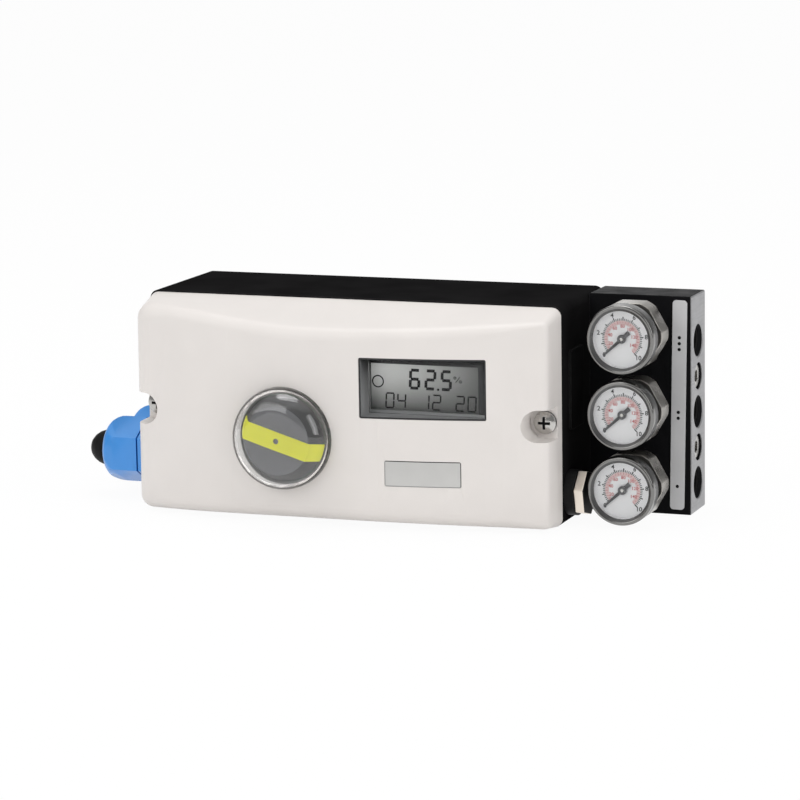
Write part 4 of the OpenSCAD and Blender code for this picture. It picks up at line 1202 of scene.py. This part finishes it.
    def pointers(self) -> None:
        """Dresses the pointers and sets a bright pin head in each hub."""
        upright = Matrix.Rotation(math.radians(-self.start), 4, "Y")
        for i, centre in enumerate(self.centres, 1):
            node = f"gauge_pointer_{i}"
            needle = self.shop.recut(node)
            turn = upright @ Matrix.Translation((-centre[0], 0, -centre[1]))
            thin = [v for v in needle.verts if (turn @ v.co).z > self.hub_r]
            bmesh.ops.scale(needle, vec=(self.stout, 1, 1), space=turn, verts=thin)
            self.shop.stand_in(needle, node, [Coat.POINTER])
            front = span(node)[0].y - self.pin_rise
            back = span(node)[0].y + self.pin_sunk
            edge = arc((self.pin_r - self.pin_edge, front + self.pin_edge), self.pin_edge, -90, 0, cuts=4)
            profile = [(0, front), *edge, (self.pin_r, back), (0, back)]
            head = lathe(profile, "Y", centre, steps=32, closed=False)
            self.shop.place(head, f"pointer_pin_{i}", f"pointer_{i}", [Coat.STEEL])


@dataclass
class AirBlock:
    """The gauge block with its air ports, screws and label strip."""

    shop: Shop
    block_edge: float = 0.4
    screw_edge: float = 0.25
    port: Thread = Thread(radius=5.9, pitch=1.34)
    port_len: float = 12.5
    port_chamfer: float = 1.6
    port_y: float = -10.5
    port_zs: tuple[float, ...] = (-26.6, 5.05, 36.7)
    dot_r: float = 0.75
    dot_gap: float = 2.6
    strip_edge: float = 0.1
    strip_corner: float = 1.6
    strip_lean: float = 0.9

    def build(self) -> None:
        """Builds the block."""
        self.shop.refine("gauge_block", Coat.BLOCK, self.block_edge)
        self.shop.refine("block_screws", Coat.STEEL, self.screw_edge)
        self.strip()
        self.shop.dress("block_seals", Coat.RUBBER)
        self.port_threads()

    def strip(self) -> None:
        """Cuts the label strip with round corners, glued on at a slight lean, and marks it."""
        low, high = span("label_strip")
        pivot = Vector(((low.x + high.x) / 2, 0, high.z))
        turn = Matrix.Rotation(math.radians(self.strip_lean), 4, "Y")
        lean = Matrix.Translation(pivot) @ turn @ Matrix.Translation(-pivot)
        bm = bmesh.new()
        bar(bm, (low + high) / 2, high - low)
        corners = [edge for edge in bm.edges if abs(edge.verts[0].co.y - edge.verts[1].co.y) > WELD]
        bmesh.ops.bevel(bm, geom=corners, offset=self.strip_corner, segments=6, profile=0.5, affect="EDGES",
                        material=-1)
        bm.transform(lean)
        self.shop.stand_in(bm, "label_strip", [Coat.STRIP], self.strip_edge)
        self.strip_marks(lean)

    def strip_marks(self, lean: Matrix) -> None:
        """Marks the ports on the strip with one, two and three dots.

        Args:
            lean: The strip's lean.
        """
        low, high = span("label_strip")
        x, ys = (low.x + high.x) / 2, (low.y - PRINT, low.y + PRINT)
        bm = bmesh.new()
        for count, z in enumerate(self.port_zs, 1):
            for i in range(count):
                centre = (x, z + (i - (count - 1) / 2) * self.dot_gap)
                add(bm, washer(centre, (0, self.dot_r), ys, steps=28))
        bm.transform(lean)
        self.shop.place(bm, "strip_dots", "case", [Coat.INK_AND_PAINTED_SHADE])

    def port_threads(self) -> None:
        """Cuts the threads of the air ports."""
        mouth = span("gauge_block")[1].x - self.port_chamfer
        bm = bmesh.new()
        for z in self.port_zs:
            add(bm, self.port.cut("X", (self.port_y, z), mouth - self.port_len, mouth))
        self.shop.place(bm, "port_threads", "case", [Coat.CASTING])


@dataclass
class EndFittings:
    """The cable glands on the left and the vent on the right."""

    shop: Shop
    nut_edge: float = 0.7
    nut_sharp: float = 24.0
    gland_edge: float = 0.6
    plug_edge: float = 0.3
    collar_edge: float = 0.4
    vent_edge: float = 0.5
    vent_sunk: float = 1.1
    vent_facing: float = 0.9
    seat_slack: float = 0.05

    def build(self) -> None:
        """Builds the glands and the vent."""
        self.shop.refine("gland_nuts", Coat.GLAND, self.nut_edge, self.nut_sharp)
        self.shop.refine("gland_bodies", Coat.GLAND, self.gland_edge)
        self.shop.dress("gland_seals", Coat.RUBBER)
        self.shop.refine("dust_plugs", Coat.PLUG, self.plug_edge)
        self.vent()

    def vent(self) -> None:
        """Dresses the vent: its plug has a dark end face and a head that sinks into the collar."""
        seat_x = span("vent_collar")[1].x
        collar, plug = self.shop.recut("vent_collar"), self.shop.recut("vent_plug")
        for bm in (collar, plug):
            seat = [v for v in bm.verts if abs(v.co.x - seat_x) < self.seat_slack]
            bmesh.ops.translate(bm, vec=(-self.vent_sunk, 0, 0), verts=seat)
        self.shop.stand_in(collar, "vent_collar", [Coat.PLUG], self.collar_edge)
        for face in plug.faces:
            face.material_index = int(face.normal.x > self.vent_facing)
        self.shop.stand_in(plug, "vent_plug", [Coat.NICKEL, Coat.INK_AND_PAINTED_SHADE], self.vent_edge)


@dataclass
class Works:
    """What is inside the casing, and the shaft that comes out at the back."""

    shop: Shop
    shaft_edge: float = 0.4
    finishes: dict[str, Coat] = field(default_factory=lambda: {
        "shaft_bushes": Coat.BRONZE, "shaft_clip": Coat.STEEL, "sensor_spindle": Coat.STEEL,
        "sensor_body": Coat.SENSOR, "circuit_board": Coat.BOARD, "board_screws": Coat.STEEL,
        "switch_bases": Coat.BUTTON, "button_1": Coat.BUTTON, "button_2": Coat.BUTTON,
        "button_3": Coat.BUTTON, "button_4": Coat.BUTTON, "terminal_block": Coat.TERMINAL,
        "ip_module": Coat.MODULE, "valve_block": Coat.MILLED, "valve_spool": Coat.STEEL,
        "spool_plug": Coat.STEEL, "shaft_gear": Coat.ACETAL, "sensor_pinion": Coat.ACETAL})

    def build(self) -> None:
        """Dresses the works."""
        self.shop.refine("feedback_shaft", Coat.STEEL, self.shaft_edge)
        for node, coat in self.finishes.items():
            self.shop.dress(node, coat)


@dataclass(frozen=True)
class SoftBox:
    """A lamp: where it hangs, what it points at, its width and height, and its power in watts."""

    name: str
    place: Point3
    aim: Point3
    size: Point2
    power: float


@dataclass
class Studio:
    """Camera, floor and soft light."""

    eye: Point3 = (0.56798, -1.44308, 0.28198)
    right: Point3 = (0.93808, 0.34609, -0.01494)
    up: Point3 = (-0.04822, 0.17316, 0.98370)
    lens: float = 155.1
    sensor: float = 36.0
    shift: Point2 = (-0.0312, 0.0005)
    floor_z: float = -0.0393
    floor_half: float = 6.0
    floor_colour: Colour = (0.95, 0.95, 0.95)
    floor_white: float = 0.95
    ambient: float = 0.62
    backdrop: Point3 = (-0.343, 0.922, -0.179)
    backdrop_span: Point2 = (0.72, 0.9)
    overhead_span: Point2 = (0.7, 0.85)
    dim_side: float = 0.22
    dim_clear: float = 0.74
    lamps: tuple[SoftBox, ...] = (
        SoftBox("key", (-0.6, -1.1, 0.75), (0.02, -0.05, 0.0), (1.1, 0.8), 4.2),
        SoftBox("fill", (0.0, -1.3, 0.08), (0.02, -0.05, 0.0), (1.2, 0.2), 0.35),
        SoftBox("top", (-0.05, 0.05, 1.3), (0.0, -0.04, 0.0), (0.8, 0.5), 5.6),
        SoftBox("side", (1.3, -0.5, 0.6), (0.06, -0.04, 0.0), (0.5, 1.0), 4.0))

    def build(self) -> None:
        """Sets up the studio."""
        bpy.context.scene.view_settings.view_transform = "Standard"
        self.camera()
        self.floor()
        self.world()
        for box in self.lamps:
            self.lamp(box)

    def camera(self) -> None:
        """Makes the camera at the photograph's viewpoint."""
        data = bpy.data.cameras.new("camera")
        data.lens, data.sensor_width = self.lens, self.sensor
        data.shift_x, data.shift_y = self.shift
        camera = bpy.data.objects.new("camera", data)
        right, up = Vector(self.right), Vector(self.up)
        turn = Matrix((right, up, right.cross(up))).transposed()
        camera.matrix_world = Matrix.Translation(self.eye) @ turn.to_4x4()
        bpy.context.scene.collection.objects.link(camera)
        bpy.context.scene.camera = camera

    def floor(self) -> None:
        """Lays a pale floor that keeps a faint shadow."""
        bm = bmesh.new()
        bmesh.ops.create_grid(bm, x_segments=1, y_segments=1, size=self.floor_half)
        bmesh.ops.translate(bm, vec=(0, 0, self.floor_z), verts=bm.verts)
        mesh = bpy.data.meshes.new("floor")
        bm.to_mesh(mesh)
        bm.free()
        floor = bpy.data.objects.new("floor", mesh)
        bpy.context.scene.collection.objects.link(floor)
        mesh.materials.append(self.floor_material())

    def floor_material(self) -> bpy.types.Material:
        """Makes the floor matt, and nearly white to the camera, in reflections and through clear pieces.

        Returns:
            The material.
        """
        material = bpy.data.materials.new("floor")
        wiring = Wiring(material)
        path = wiring.node("ShaderNodeLightPath")
        seen = path.outputs["Is Camera Ray"]
        for name in ("Is Glossy Ray", "Is Transmission Ray"):
            seen = wiring.math("MAXIMUM", seen, path.outputs[name])
        matt = wiring.node("ShaderNodeBsdfDiffuse", Color=(*self.floor_colour, 1.0))
        white = wiring.node("ShaderNodeEmission")
        mix = wiring.node("ShaderNodeMixShader")
        output = wiring.node("ShaderNodeOutputMaterial")
        wiring.link(wiring.math("MULTIPLY", seen, self.floor_white), mix.inputs[0])
        wiring.link(matt.outputs[0], mix.inputs[1])
        wiring.link(white.outputs[0], mix.inputs[2])
        wiring.link(mix.outputs[0], output.inputs["Surface"])
        return material

    def world(self) -> None:
        """Surrounds the object with pale light.

        The camera sees it white. Reflections see it white behind the object and overhead, and dim elsewhere.
        Clear pieces show it white behind the object, and a little dimmer elsewhere.
        """
        world = bpy.data.worlds.new("studio")
        wiring = Wiring(world)
        path = wiring.node("ShaderNodeLightPath")
        place = wiring.node("ShaderNodeTexCoord").outputs["Generated"]
        behind = wiring.dot(place, self.backdrop)
        height = wiring.node("ShaderNodeSeparateXYZ", Vector=place).outputs["Z"]
        glossy = wiring.spread(behind, self.backdrop_span, self.dim_side, 1.0)
        glossy = wiring.spread(height, self.overhead_span, glossy, 1.0)
        clear = wiring.spread(behind, self.backdrop_span, self.dim_clear, 1.0)
        level: object = self.ambient
        for name, seen in (("Is Glossy Ray", glossy), ("Is Transmission Ray", clear), ("Is Camera Ray", 1.0)):
            level = wiring.spread(path.outputs[name], (0.0, 1.0), level, seen)
        light = wiring.node("ShaderNodeBackground", Color=(1.0, 1.0, 1.0, 1.0), Strength=level)
        output = wiring.node("ShaderNodeOutputWorld")
        wiring.link(light.outputs[0], output.inputs["Surface"])
        bpy.context.scene.world = world

    def lamp(self, box: SoftBox) -> None:
        """Hangs a soft box.

        Args:
            box: The lamp.
        """
        data = bpy.data.lights.new(box.name, "AREA")
        data.shape, data.size, data.size_y, data.energy = "RECTANGLE", *box.size, box.power
        lamp = bpy.data.objects.new(box.name, data)
        lamp.location = box.place
        lamp.visible_camera = False
        lamp.rotation_euler = (Vector(box.aim) - Vector(box.place)).to_track_quat("-Z", "Y").to_euler()
        bpy.context.scene.collection.objects.link(lamp)


def main() -> None:
    logging.basicConfig(level=logging.INFO, format="%(name)s: %(message)s")
    shop = Shop()
    Studio().build()
    for assembly in (Casing(shop), IndicatorWindow(shop), Display(shop), GaugeRow(shop), AirBlock(shop),
                     EndFittings(shop), Works(shop)):
        assembly.build()


if __name__ == "__main__":
    main()
